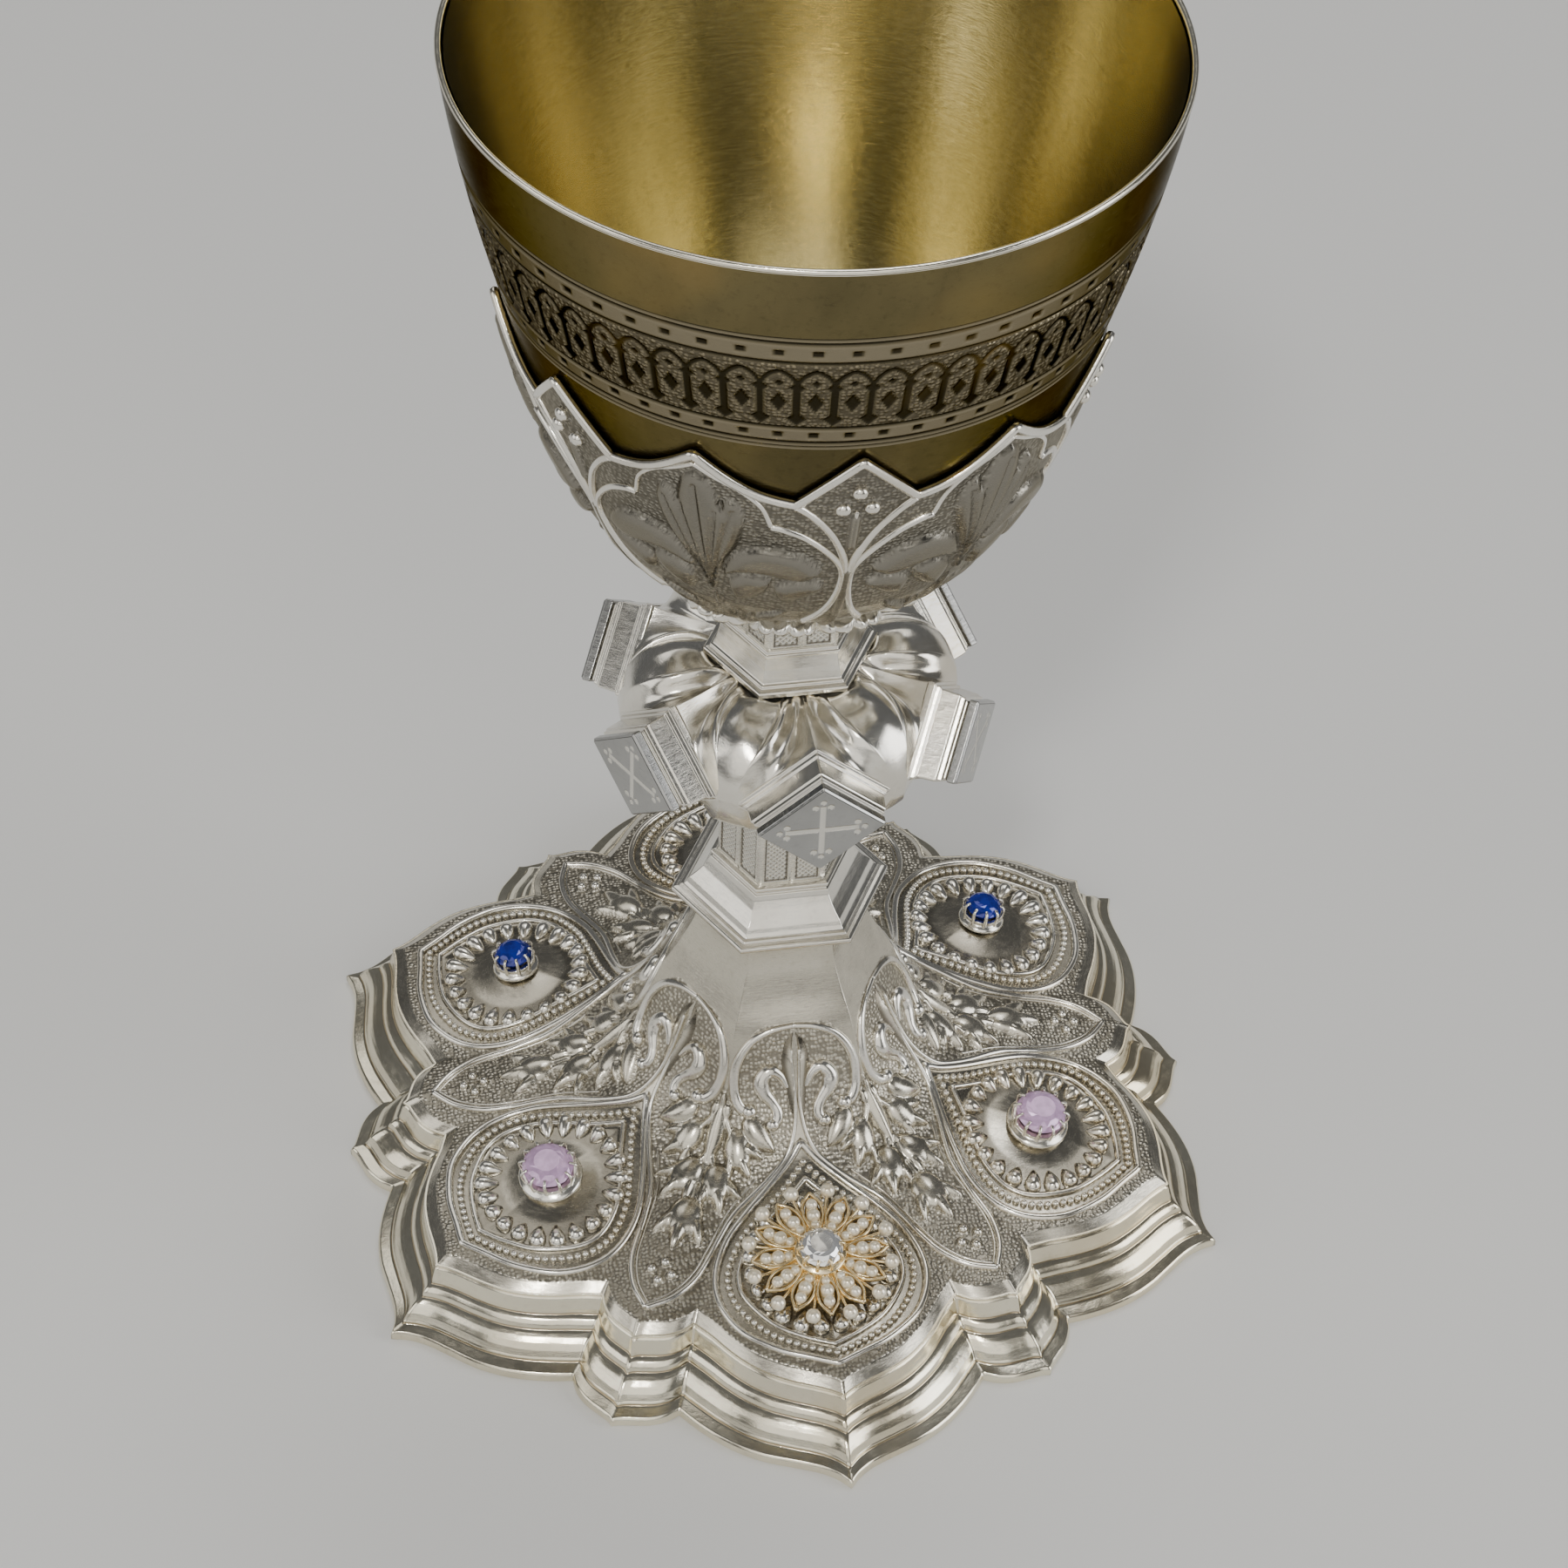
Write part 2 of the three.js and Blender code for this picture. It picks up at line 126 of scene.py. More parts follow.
def oval(x, y, cx, cy, rx, ry):
    """How deep a point is inside an oval: 1 at the centre, 0 on its edge, negative outside."""
    return 1 - np.hypot((x - cx) / rx, (y - cy) / ry)


def pillow(depth):
    """A rounded lump's height from how deep a point is inside it."""
    return np.sqrt(np.clip(1 - (1 - np.clip(depth, 0, 1)) ** 2, 0, 1))


def tear(x, y, base, tip, width):
    """A leaf's height, 0 to 1: a teardrop from base to tip with a soft ridge along its middle."""
    ax, ay = base
    dx, dy = tip[0] - ax, tip[1] - ay
    length = math.hypot(dx, dy)
    t = ((x - ax) * dx + (y - ay) * dy) / length ** 2
    off = np.abs((x - ax) * dy - (y - ay) * dx) / length
    inner = np.clip(t, 0, 1)
    half = width * 0.5 * 1.72 * np.sqrt(inner) * (1 - inner) ** 0.75 + 1e-9
    share = np.clip(1 - off / half, 0, 1)
    round_across = 0.8 * np.sqrt(1 - (1 - share) ** 2) + 0.2 * share
    return np.where((t > 0) & (t < 1), np.sqrt(np.sin(np.pi * inner ** 0.8)) * round_across, 0)


def depth_in(path, x, y):
    """Distance from each point to the closed path's edge, 0 outside it."""
    return np.where(inside(path, x, y), distance_to(path, x, y, True), 0)


def raised(path, x, y, reach):
    """A closed patch's height, 0 on its edge and 1 from reach inside it."""
    return pillow(depth_in(path, x, y) / reach)


def mirrored(half):
    """A closed path from its half on the +x side."""
    p = np.asarray(half, float)
    return np.vstack([p, p[::-1] * [-1, 1]])


def turned_to(points, angle):
    """Points (across, out, up) at an angle round the axis as x, y, z."""
    a = math.radians(angle)
    across, out, up = points[..., 0], points[..., 1], points[..., 2]
    return np.stack([across * math.cos(a) + out * math.sin(a),
                     across * math.sin(a) - out * math.cos(a), up], -1)


def unit(v):
    return v / np.linalg.norm(v, axis=-1, keepdims=True)


def full_turn(count):
    """Angles in radians, evenly spaced over one turn."""
    return np.radians(np.linspace(0, 360, count, endpoint=False))


def polar(radius, a, z):
    """Points at a radius, an angle in radians and a height."""
    return np.stack(np.broadcast_arrays(radius * np.sin(a), -radius * np.cos(a), z), -1)


# ---- meshes

class Shape:
    """Points, quads or triangles, and named values on the points."""

    def __init__(self, points, faces, **values):
        self.points = np.asarray(points, float).reshape(-1, 3)
        self.faces = [np.asarray(f, int) for f in (faces if isinstance(faces, list) else [faces])]
        self.values = {k: np.asarray(v, float).ravel() for k, v in values.items()}


def grid(points, wrap=True, loop=False, flip=False, **values):
    """A shape from rows of points; wrap joins the last column to the first, loop the last row."""
    rows, cols = points.shape[:2]
    i = np.arange(rows if loop else rows - 1)[:, None]
    j = np.arange(cols if wrap else cols - 1)[None, :]
    i2, j2 = (i + 1) % rows, (j + 1) % cols
    quads = np.stack([i * cols + j, i * cols + j2, i2 * cols + j2, i2 * cols + j], -1).reshape(-1, 4)
    return Shape(points, quads[:, ::-1] if flip else quads, **values)


def joined(shapes):
    points, faces, start = [], {3: [], 4: []}, 0
    names = sorted({k for s in shapes for k in s.values})
    for s in shapes:
        points.append(s.points)
        for f in s.faces:
            faces[f.shape[1]].append(f + start)
        start += len(s.points)
    values = {k: np.concatenate([s.values.get(k, np.zeros(len(s.points))) for s in shapes])
              for k in names}
    return Shape(np.vstack(points), [np.vstack(f) for f in faces.values() if f], **values)


def capped(shape, rows, cols):
    """Closes a wrapped grid's first and last rows with a fan."""
    first, last = np.arange(cols), (rows - 1) * cols + np.arange(cols)
    low, high = shape.points[first].mean(0), shape.points[last].mean(0)
    n = len(shape.points)
    fan_low = np.stack([np.full(cols, n), np.roll(first, -1), first], 1)
    fan_high = np.stack([np.full(cols, n + 1), last, np.roll(last, -1)], 1)
    values = {k: np.concatenate([v, [v[0], v[-1]]]) for k, v in shape.values.items()}
    return Shape(np.vstack([shape.points, low, high]), shape.faces + [fan_low, fan_high], **values)


def outward(shape):
    """Turns a closed shape's faces outward."""
    volume = 0
    for f in shape.faces:
        for k in range(1, f.shape[1] - 1):
            a, b, c = (shape.points[f[:, j]] for j in (0, k, k + 1))
            volume += np.einsum("ij,ij->i", a, np.cross(b, c)).sum()
    if volume < 0:
        shape.faces = [f[:, ::-1] for f in shape.faces]
    return shape


def tube(rings):
    """A closed body from rings of points, capped at both ends."""
    return outward(capped(grid(rings), *rings.shape[:2]))


def hoop(rings, **values):
    """A closed body from rings of points, the last joined to the first."""
    return outward(grid(rings, loop=True, **values))


def corner_normals(shape):
    """Point normals weighted by face area, so that a narrow bevel doesn't shade the flats beside it."""
    total = np.zeros_like(shape.points)
    for f in shape.faces:
        a, b, c, d = (shape.points[f[:, k]] for k in (0, 1, 2, -1))
        n = np.cross(c - a, d - b)
        for k in range(f.shape[1]):
            for axis in range(3):
                total[:, axis] += np.bincount(f[:, k], n[:, axis], len(total))
    return total / np.maximum(np.linalg.norm(total, axis=1), 1e-12)[:, None]


def piece(name, shape, material, slot, *nodes, soft=True, normals=None):
    """Makes a Blender object of a shape and ties it to the CAD."""
    mesh = bpy.data.meshes.new(name)
    faces = [row for f in shape.faces for row in f.tolist()]
    mesh.from_pydata((shape.points * MM).tolist(), [], faces)
    for key, value in shape.values.items():
        layer = mesh.attributes.new(key, "FLOAT", "POINT")
        layer.data.foreach_set("value", value.astype(np.float32))
    mesh.materials.append(material)
    if soft:
        mesh.shade_smooth()
        normals = corner_normals(shape) if normals is None else normals
        mesh.normals_split_custom_set_from_vertices(normals.tolist())
    made = bpy.data.objects.new(name, mesh)
    bpy.context.scene.collection.objects.link(made)
    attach(made, "root")
    if nodes:
        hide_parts(*nodes)
    return made


def filleted(corners, radius, arc=4):
    """A closed polygon with its corners rounded: the same number of points whatever its size."""
    p = np.asarray(corners, float)
    before, after = unit(np.roll(p, 1, axis=0) - p), unit(np.roll(p, -1, axis=0) - p)
    half = np.arccos(np.clip((before * after).sum(1), -1, 1)) / 2
    inward = unit(before + after)
    out = []
    for k in range(len(p)):
        centre = p[k] + inward[k] * radius / math.sin(half[k])
        start = p[k] + before[k] * radius / math.tan(half[k]) - centre
        end = p[k] + after[k] * radius / math.tan(half[k]) - centre
        for t in np.linspace(0, 1, arc + 1):
            out.append(centre + unit(start * (1 - t) + end * t) * radius)
    return np.array(out)


def softened(profile, radius, arc=3, closed=False):
    """A profile with its inner corners rounded, never by more than a third of a side."""
    p = np.asarray(profile + profile[:1] if closed else profile, float)
    out = [p[0]]
    for a, b, c in zip(p, p[1:], p[2:]):
        la, lc = np.linalg.norm(a - b), np.linalg.norm(c - b)
        reach = min(radius, la / 3, lc / 3)
        start, end = b + (a - b) / la * reach, b + (c - b) / lc * reach
        for t in np.linspace(0, 1, arc + 1):
            out.append((1 - t) ** 2 * start + 2 * t * (1 - t) * b + t * t * end)
    return np.array(out if closed else out + [p[-1]])


def hexagonal(profile):
    """A hexagonal body from a closed profile of (corner radius, height)."""
    a = np.radians(30 + 60 * np.arange(6))
    corners = np.stack([np.sin(a), -np.cos(a)], 1)
    rings = [(filleted(r * corners, 0.25), z) for r, z in softened(profile, 0.2, 2, True)]
    return hoop(np.array([np.column_stack([ring, np.full(len(ring), z)]) for ring, z in rings]))


def wire(path, up, half_width, height, closed=True, sides=8):
    """A rounded strip along a path; up gives the surface's direction at each point."""
    ahead = np.roll(path, -1, axis=0) - np.roll(path, 1, axis=0)
    if not closed:
        ahead[0], ahead[-1] = path[1] - path[0], path[-1] - path[-2]
    side = unit(np.cross(ahead, up))
    width = np.broadcast_to(half_width, len(path))[:, None]
    tall = np.broadcast_to(height, len(path))[:, None]
    rings = [path + side * width * math.cos(a) + up * tall * math.sin(a)
             for a in np.linspace(0, 2 * math.pi, sides, endpoint=False)]
    rings = np.stack(rings, 1)
    return hoop(rings) if closed else tube(rings)


def ball(centre, radius, across=10, along=6, squash=1, up=(0, 0, 1)):
    """A round bead, flattened along up by squash."""
    lat = np.linspace(-math.pi / 2, math.pi / 2, along + 1)[1:-1, None]
    lon = np.linspace(0, 2 * math.pi, across, endpoint=False)[None, :]
    up = unit(np.asarray(up, float))
    side = unit(np.cross(up, [1, 0, 0] if abs(up[0]) < 0.9 else [0, 1, 0]))
    other = np.cross(up, side)
    body = (np.cos(lat) * np.cos(lon))[..., None] * side + (np.cos(lat) * np.sin(lon))[..., None] * other
    body = body + (np.sin(lat) * np.ones_like(lon))[..., None] * up * squash
    return tube(np.asarray(centre) + radius * body)


def lump(centre, along, up, length, width, height, taper, rings=7, sides=10):
    """A rounded seed shape lying on a surface, thinner at its start by taper."""
    along, up = unit(along), unit(up)
    side = np.cross(along, up)
    t = -np.cos(np.linspace(0, math.pi, rings + 2))[1:-1]
    girth = np.sqrt(1 - t * t) * (1 + taper * t)
    a = np.linspace(0, 2 * math.pi, sides, endpoint=False)
    rows = (centre + along * (t * length / 2)[:, None, None]
            + side * (girth[:, None] * np.cos(a) * width / 2)[..., None]
            + up * (girth[:, None] * np.sin(a) * height)[..., None])
    return tube(rows)


# ---- materials

class Paint:
    """A new material, with short ways to add the nodes used here."""

    def __init__(self, name):
        self.material = bpy.data.materials.new(name)
        self.material.use_nodes = True
        self.nodes = self.material.node_tree.nodes
        self.place = self.node("TexCoord", "Object")

    def put(self, socket, value):
        """Gives a socket a number, a colour or another node's output."""
        if isinstance(value, bpy.types.NodeSocket):
            self.material.node_tree.links.new(value, socket)
        else:
            socket.default_value = (*value, 1) if socket.type == "RGBA" else value

    def node(self, kind, output, inputs={}, **settings):
        made = self.nodes.new("ShaderNode" + kind)
        for key, value in settings.items():
            setattr(made, key, value)
        for key, value in inputs.items():
            self.put(made.inputs[key], value)
        return made.outputs[output]

    def finished(self, **inputs):
        for key, value in inputs.items():
            self.put(self.nodes["Principled BSDF"].inputs[key.replace("_", " ")], value)
        return self.material

    def value(self, name):
        """A value stored on the mesh's points."""
        return self.node("Attribute", "Fac", attribute_name=name)

    def noise(self, scale, detail, rough=0.55, stretch=(1, 1, 1)):
        where = self.node("Mapping", 0, {"Vector": self.place, "Scale": stretch})
        return self.node("TexNoise", "Fac",
                         {"Vector": where, "Scale": scale, "Detail": detail, "Roughness": rough})

    def ranged(self, value, low, high, to_low, to_high):
        return self.node("MapRange", "Result", interpolation_type="SMOOTHSTEP", inputs={
            "Value": value, "From Min": low, "From Max": high, "To Min": to_low, "To Max": to_high})

    def math(self, how, a, b):
        return self.node("Math", 0, {0: a, 1: b}, operation=how)

    def mix(self, share, a, b):
        return self.node("Mix", 2, {0: share, 6: a, 7: b}, data_type="RGBA")


def metal(name, bright, dark, rough, tarnish, stipple=False, warm=None, mark=None,
          cloud_stretch=(1, 1, 1), edge=(1, 1, 1)):
    """Worn metal: cloudy with tarnish and scratched, dark where the point value of darkening and painted
    shade is 1, stippled where "ground" is 1, with painted shade between the stipple dots.
    """
    paint = Paint(name)
    cloud = paint.noise(55, 4, stretch=cloud_stretch)
    fine = paint.noise(900, 5, 0.65)
    scratch = paint.noise(420, 6, 0.7, (1, 1.6, 9))
    stain = paint.ranged(cloud, 0.40, 0.72, 0, tarnish)
    speck = paint.ranged(fine, 0.5, 0.75, 0, tarnish * 0.5)
    # Tarnish clouds and specks, and the point value of darkening and painted shade, pull the colour towards
    # dark.
    share = paint.math("MAXIMUM", paint.math("ADD", stain, speck), paint.value("ink"))
    colour = paint.mix(share, bright, dark)
    if warm:
        patch = paint.ranged(paint.noise(24, 3), 0.5, 0.7, 0, 0.35)
        colour = paint.mix(patch, colour, warm)
    if mark:
        colour = paint.mix(paint.value("mark"), colour, mark)
    roughness = paint.ranged(scratch, 0.3, 0.75, rough * 0.75, rough * 1.5)
    height = paint.math("ADD", fine, scratch)
    depth = SCRATCH_DEPTH
    if stipple:
        ground = paint.value("ground")
        cells = paint.node("TexVoronoi", "Distance",
                           {"Vector": paint.place, "Scale": 1500, "Randomness": 0.55})
        dots = paint.math("MULTIPLY", paint.ranged(cells, 0.1, 0.75, 1, 0), ground)
        height = paint.math("ADD", paint.math("MULTIPLY", height, 0.12), dots)
        depth = STIPPLE_DEPTH
        # Painted shade: the low ground between the stipple dots is coloured darker.
        painted_pit_shade = paint.math("MULTIPLY", paint.ranged(cells, 0.25, 0.6, 0, 0.6), ground)
        colour = paint.mix(painted_pit_shade, colour, dark)
        roughness = paint.math("ADD", roughness, paint.math("MULTIPLY", ground, 0.12))
    normal = paint.node("Bump", "Normal", {"Strength": 0.6, "Distance": depth, "Height": height})
    return paint.finished(Base_Color=colour, Roughness=roughness, Normal=normal, Metallic=1,
                          Specular_Tint=edge)


def stone(name, colour, ior, clear, depth, mirror):
    """A cut stone with faint clouds inside its colour."""
    paint = Paint(name)
    deep = tuple(c * depth for c in colour)
    clouds = paint.mix(paint.ranged(paint.noise(500, 3), 0.35, 0.7, 0, 1), colour, deep)
    return paint.finished(Base_Color=clouds, Roughness=0.03, Metallic=mirror, IOR=ior,
                          Transmission_Weight=clear)


def pearl():
    paint = Paint("pearl")
    cloud = paint.ranged(paint.noise(700, 2), 0.4, 0.65, 0, 1)
    rose = paint.mix(cloud, (1, 0.93, 0.76), (0.92, 0.80, 0.58))
    return paint.finished(Base_Color=rose, Roughness=0.16, Metallic=0.4, Coat_Weight=1, Coat_IOR=1.9)


SCRATCH_DEPTH, STIPPLE_DEPTH = 0.00003, 0.00018
CHASED = metal("chased_silver", (0.68, 0.64, 0.54), (0.10, 0.085, 0.06), 0.22, 0.3, stipple=True)
SILVER = metal("polished_silver", (0.85, 0.825, 0.755), (0.34, 0.28, 0.18), 0.17, 0.25,
               warm=(0.80, 0.68, 0.46))
RIM = metal("rim_silver", (0.90, 0.85, 0.69), (0.34, 0.25, 0.13), 0.16, 0.3, warm=(0.82, 0.66, 0.38))
# The calyx's silver has a much darker base colour than the foot's.
CALYX = metal("dark_calyx_silver", (0.38, 0.36, 0.31), (0.05, 0.045, 0.035), 0.22, 0.3, stipple=True,
              edge=(0.7, 0.67, 0.6))
ENGRAVED = metal("engraved_silver", (0.84, 0.82, 0.75), (0.10, 0.085, 0.06), 0.24, 0.2)
# Painted dark reflection: the boss faces get a dark base colour in place of the dark surroundings they
# reflect; the cross keeps a plain silver colour.
BOSS_FACE_PAINTED_DARK = metal("boss_silver_painted_dark_reflection", (0.42, 0.42, 0.41), (0.2, 0.2, 0.19), 0.2, 0.3, mark=(0.76, 0.74, 0.68))
# Painted dark reflection: the cup's outside gets a very dark base colour in place of the dark surroundings
# its gilt reflects.
GILT_PAINTED_DARK = metal("worn_gilt_painted_dark_reflection", (0.175, 0.145, 0.07), (0.03, 0.026, 0.018), 0.2, 0.4, stipple=True,
             warm=(0.40, 0.27, 0.09), mark=(0.27, 0.235, 0.165), cloud_stretch=(1, 1, 0.4),
             edge=(0.22, 0.21, 0.18))
INSIDE = metal("bright_gilt", (0.81, 0.735, 0.48), (0.50, 0.45, 0.25), 0.12, 0.75, cloud_stretch=(1, 1, 0.06))
LIP = metal("bright_lip", (0.88, 0.84, 0.72), (0.6, 0.5, 0.3), 0.14, 0.2)
GOLD = metal("yellow_gold", (0.96, 0.80, 0.50), (0.62, 0.42, 0.18), 0.2, 0.25)
DARK = metal("inner_metal", (0.40, 0.39, 0.36), (0.15, 0.14, 0.12), 0.35, 0.6)
AMETHYST = stone("amethyst", (0.92, 0.62, 0.96), 1.6, 0.25, 0.75, 0.2)
SAPPHIRE = stone("sapphire", (0.01, 0.035, 0.50), 1.77, 0.3, 0.5, 0.2)
DIAMOND = stone("diamond", (1, 1, 1), 2.4, 0, 0.9, 0.75)
PEARL = pearl()


# ---- the foot's surface

# Half a large lobe and half a small one: angle from the large tip, plate radius, flange radius.
OUTLINE = np.array([
    (0, 70.6, 80), (1.2, 69.6, 78.2), (3.2, 68.5, 76.5), (6.5, 67.2, 75.1), (10, 65.6, 74),
    (13, 63.7, 72.7), (16, 61.4, 71), (19, 59, 69), (22, 57.3, 66.8), (23.5, 59.2, 68.6),
    (25.5, 60.7, 70), (28, 61.7, 71), (29.3, 62.2, 71.6), (30, 62.9, 72.2)])
VALLEY, STONE_OUT = 22, 47
LARGE_SIDE, SMALL_SIDE = OUTLINE[:9], OUTLINE[8:]
PLATE_LARGE = smooth_curve(LARGE_SIDE[:, 0], LARGE_SIDE[:, 1])
PLATE_SMALL = smooth_curve(SMALL_SIDE[:, 0], SMALL_SIDE[:, 1])
FLANGE_LARGE = smooth_curve(LARGE_SIDE[:, 0], LARGE_SIDE[:, 2])
FLANGE_SMALL = smooth_curve(SMALL_SIDE[:, 0], SMALL_SIDE[:, 2])


def folded(angle):
    """Angle from the nearest large lobe, 0 to 30."""
    turn = np.mod(angle, 60)
    return np.minimum(turn, 60 - turn)


def plate_radius(angle):
    a = folded(angle)
    return np.where(a < VALLEY, PLATE_LARGE(a), PLATE_SMALL(a))


def flange_radius(angle):
    a = folded(angle)
    return np.where(a < VALLEY, FLANGE_LARGE(a), FLANGE_SMALL(a))


# The foot from its neck to its edge: radius towards a large lobe, height, how hexagonal, how lobed.
STATIONS = np.array([
    (11.4, 57, 1, 0), (11.6, 54, 1, 0), (12.1, 51, 1, 0), (13.9, 46.3, 0.95, 0),
    (17, 40.3, 0.8, 0), (20.2, 33.3, 0.5, 0), (23, 28.4, 0.2, 0), (26, 24.6, 0.04, 0.02),
    (30, 21.2, 0, 0.1), (36, 18.8, 0, 0.3), (45, 17, 0, 0.6), (57, 15.1, 0, 0.9),
    (70.6, 13.3, 0, 1)])
REACH = np.append(0, np.cumsum(np.hypot(np.diff(STATIONS[:, 0]), np.diff(STATIONS[:, 1]))))
FOOT_LENGTH = REACH[-1]
STATION_CURVES = [smooth_curve(REACH, STATIONS[:, k]) for k in range(4)]


def foot_at(along, angle):
    """Radius and height of the foot's surface, by distance down from the neck and angle."""
    radius, height, hexed, lobed = (curve(along) for curve in STATION_CURVES)
    corner = 1 / np.cos(np.radians(folded(angle)))
    plain = radius * (1 + hexed * (corner - 1))
    return plain + (radius * plate_radius(angle) / STATIONS[-1, 0] - plain) * lobed, height


def foot_points(path, turn, lift=0):
    """Where plan points (across and out, the lobe at angle turn) lie on the foot, and the way up there."""
    across, out = path.T
    angle = turn + np.degrees(np.arctan2(across, out))
    wanted = np.hypot(across, out)
    along = np.linspace(0, FOOT_LENGTH, 400)
    radii, heights = foot_at(along[None, :], angle[:, None])
    heights = np.broadcast_to(heights, radii.shape)
    z = np.array([np.interp(w, r, h) for w, r, h in zip(wanted, radii, heights)])
    ahead = np.array([np.interp(w + 0.2, r, h) for w, r, h in zip(wanted, radii, heights)])
    slope = (ahead - z) / 0.2
    a = np.radians(angle)
    up = unit(polar(-slope, a, 1))
    return polar(wanted, a, z) + up * lift, up


# Medallion lines, half of each: across and out from the axis.
INNER_LINE = [(0, 32), (4.3, 36), (8, 39), (11, 42), (13.1, 46), (13.3, 49.5), (11.8, 53),
              (8.6, 57), (4.2, 59.8), (0, 61.7)]
BEAD_LINE = [(0, 29.6), (3.4, 33), (7.6, 36.6), (11.9, 40.6), (14.7, 45.4), (15, 49.8),
             (13.4, 54), (9.8, 58.4), (4.8, 61.4), (0, 63.4)]
OUTER_LINE = [(0, 27), (2.2, 29.2), (6.2, 32.6), (10.4, 36.2), (14.2, 40.2), (16.5, 44.6), (17.2, 49),
              (16.2, 53.4), (13.6, 57.6), (8.6, 61.4), (3.6, 63.6), (0, 65.2)]
LEAF_LINE = [(0, 57.7), (3.4, 54.4), (5.5, 50), (6.2, 45), (6.5, 42), (7.4, 37), (10.6, 30),
             (12.2, 25), (11.4, 20.6), (8.7, 16.4)]
INNER, BEADS, OUTER = (mirrored_loop(half, 240) for half in (INNER_LINE, BEAD_LINE, OUTER_LINE))
LEAF_SIDE = spline(LEAF_LINE, 110)
FLEURON_TOP = [(8.5, 14.7), (5.2, 16.1), (2.6, 18.2), (1.2, 20.6), (0.6, 22.4), (0, 23)]
LEAF = mirrored(np.vstack([LEAF_SIDE, spline(FLEURON_TOP, 20)]))


# The sprig between two medallions: plain leaves (base, tip, width, height), three-pointed ones (base, tip).
PLAIN_LEAVES = [((0, 24), (0, 31.4), 4, 1.5), ((3.8, 24.6), (10.2, 26.2), 4.2, 1.4)]
POINTED_LEAVES = [((1.2, 25.4), (7.8, 31.2)), ((0.2, 29.4), (5.4, 38.2)), ((0, 35), (0, 46.6))]
# The ridged blade in the middle of a fleuron.
BLADE = [(0, 17.2), (1.5, 17.9), (2.3, 19.3), (1.7, 21.6), (1.1, 24), (0.5, 26.2)]
BLADE_PATH = mirrored(spline(BLADE, 24))


def pointed_leaf(x, y, base, tip):
    """A plump leaf with three points: its height, 0 to 1."""
    (ax, ay), (bx, by) = base, tip
    length = math.hypot(bx - ax, by - ay)
    ux, uy = (bx - ax) / length, (by - ay) / length
    along = ((x - ax) * ux + (y - ay) * uy) / length
    across = ((x - ax) * uy - (y - ay) * ux) / length
    body = pillow(oval(along, across, 0.47, 0, 0.31, 0.25))
    middle = tear(along, across, (0.42, 0), (1, 0), 0.34)
    side = tear(along, np.abs(across), (0.38, 0.1), (0.82, 0.36), 0.26)
    stalk = 0.5 * pillow(1 - np.hypot(np.clip(-along, 0, 1) + np.clip(along - 0.3, 0, 1), across) / 0.06)
    return np.max([body, 0.9 * middle, 0.8 * side, stalk], axis=0)


def leaf_relief(x, y):
    """The plant between two medallions, in the small lobe's frame."""
    x = np.abs(x)
    shapes = [0.6 * pillow(1 - distance_to(np.array([(0, 23.6), (0, 38.5)]), x, y) / 0.55)]
    for base, tip, width, tall in PLAIN_LEAVES:
        shapes.append(tall * tear(x, y, base, tip, width))
    for base, tip in POINTED_LEAVES:
        shapes.append(1.7 * pointed_leaf(x, y, base, tip))
    for cx, cy in ((0, 49.1), (1.75, 50.8), (0, 52.5), (1, 24.6)):
        shapes.append(0.7 * pillow(oval(x, y, cx, cy, 0.85, 0.85)))
    return np.max(shapes, axis=0)


def foot_relief(angle, radius):
    """Relief height, 1 where the ground is stippled, and how dark, over the whole foot."""
    turn = np.mod(angle + 30, 60) - 30
    a = np.radians(turn)
    x, y = np.abs(radius * np.sin(a)), radius * np.cos(a)
    b = np.radians(30 - np.abs(turn))
    sx, sy = radius * np.sin(b), radius * np.cos(b)
    in_inner, in_outer = inside(INNER, x, y), inside(OUTER, x, y)
    in_leaf = inside(LEAF, sx, sy) & ~in_outer
    to_edge = plate_radius(angle) - radius
    ground = np.where((in_leaf | (radius > 38)) & ~in_outer, 1, 0)
    relief = np.where(in_inner, -0.3 * step(0, 0.8, distance_to(INNER, x, y, True)), 0)
    centre = np.hypot(x, y - STONE_OUT)
    relief = np.where(in_inner, relief + 1.3 * (1 - np.clip(centre / 8.6, 0, 1) ** 2) ** 2, relief)
    relief = np.where(in_outer & ~in_inner, -0.3, relief)
    ink = np.where(in_outer & ~in_inner, 0.45, np.where(in_inner, 0.35 + 0.25 * step(7.8, 8.6, centre), 0))
    plant, blade = leaf_relief(sx, sy), 0.55 * np.minimum(depth_in(BLADE_PATH, x, y), 1.6)
    shape = np.maximum(plant, blade)
    relief = np.where(in_leaf, relief + shape, relief)
    ground = np.where(in_leaf & ((plant > 0.1) | (blade > 0.05)), 0, ground)
    # Painted shade: the low slopes round the raised leaves and blade are coloured darker.
    ink = np.where(in_leaf, np.maximum(ink, 0.85 * step(0.7, 0.2, shape) * (shape > 0.01)), ink)
    bevel = step(2.3, 2.1, to_edge)
    relief = relief * (1 - bevel) - np.clip(1 - to_edge / 2.2, 0, 1)
    return relief, ground * (1 - bevel), ink * (1 - bevel)


def foot_grid(along, cols):
    """Points of the foot's surface, the way up at each, and what foot_relief says there."""
    angle = np.linspace(0, 360, cols, endpoint=False)[None, :]
    radius, height = foot_at(along[:, None], angle)
    height = np.broadcast_to(height, radius.shape)
    a = np.radians(np.broadcast_to(angle, radius.shape))
    points = polar(radius, a, height)
    down = np.gradient(points, axis=0)
    around = np.roll(points, -1, axis=1) - np.roll(points, 1, axis=1)
    return points, unit(np.cross(down, around)), *foot_relief(np.broadcast_to(angle, radius.shape), radius)


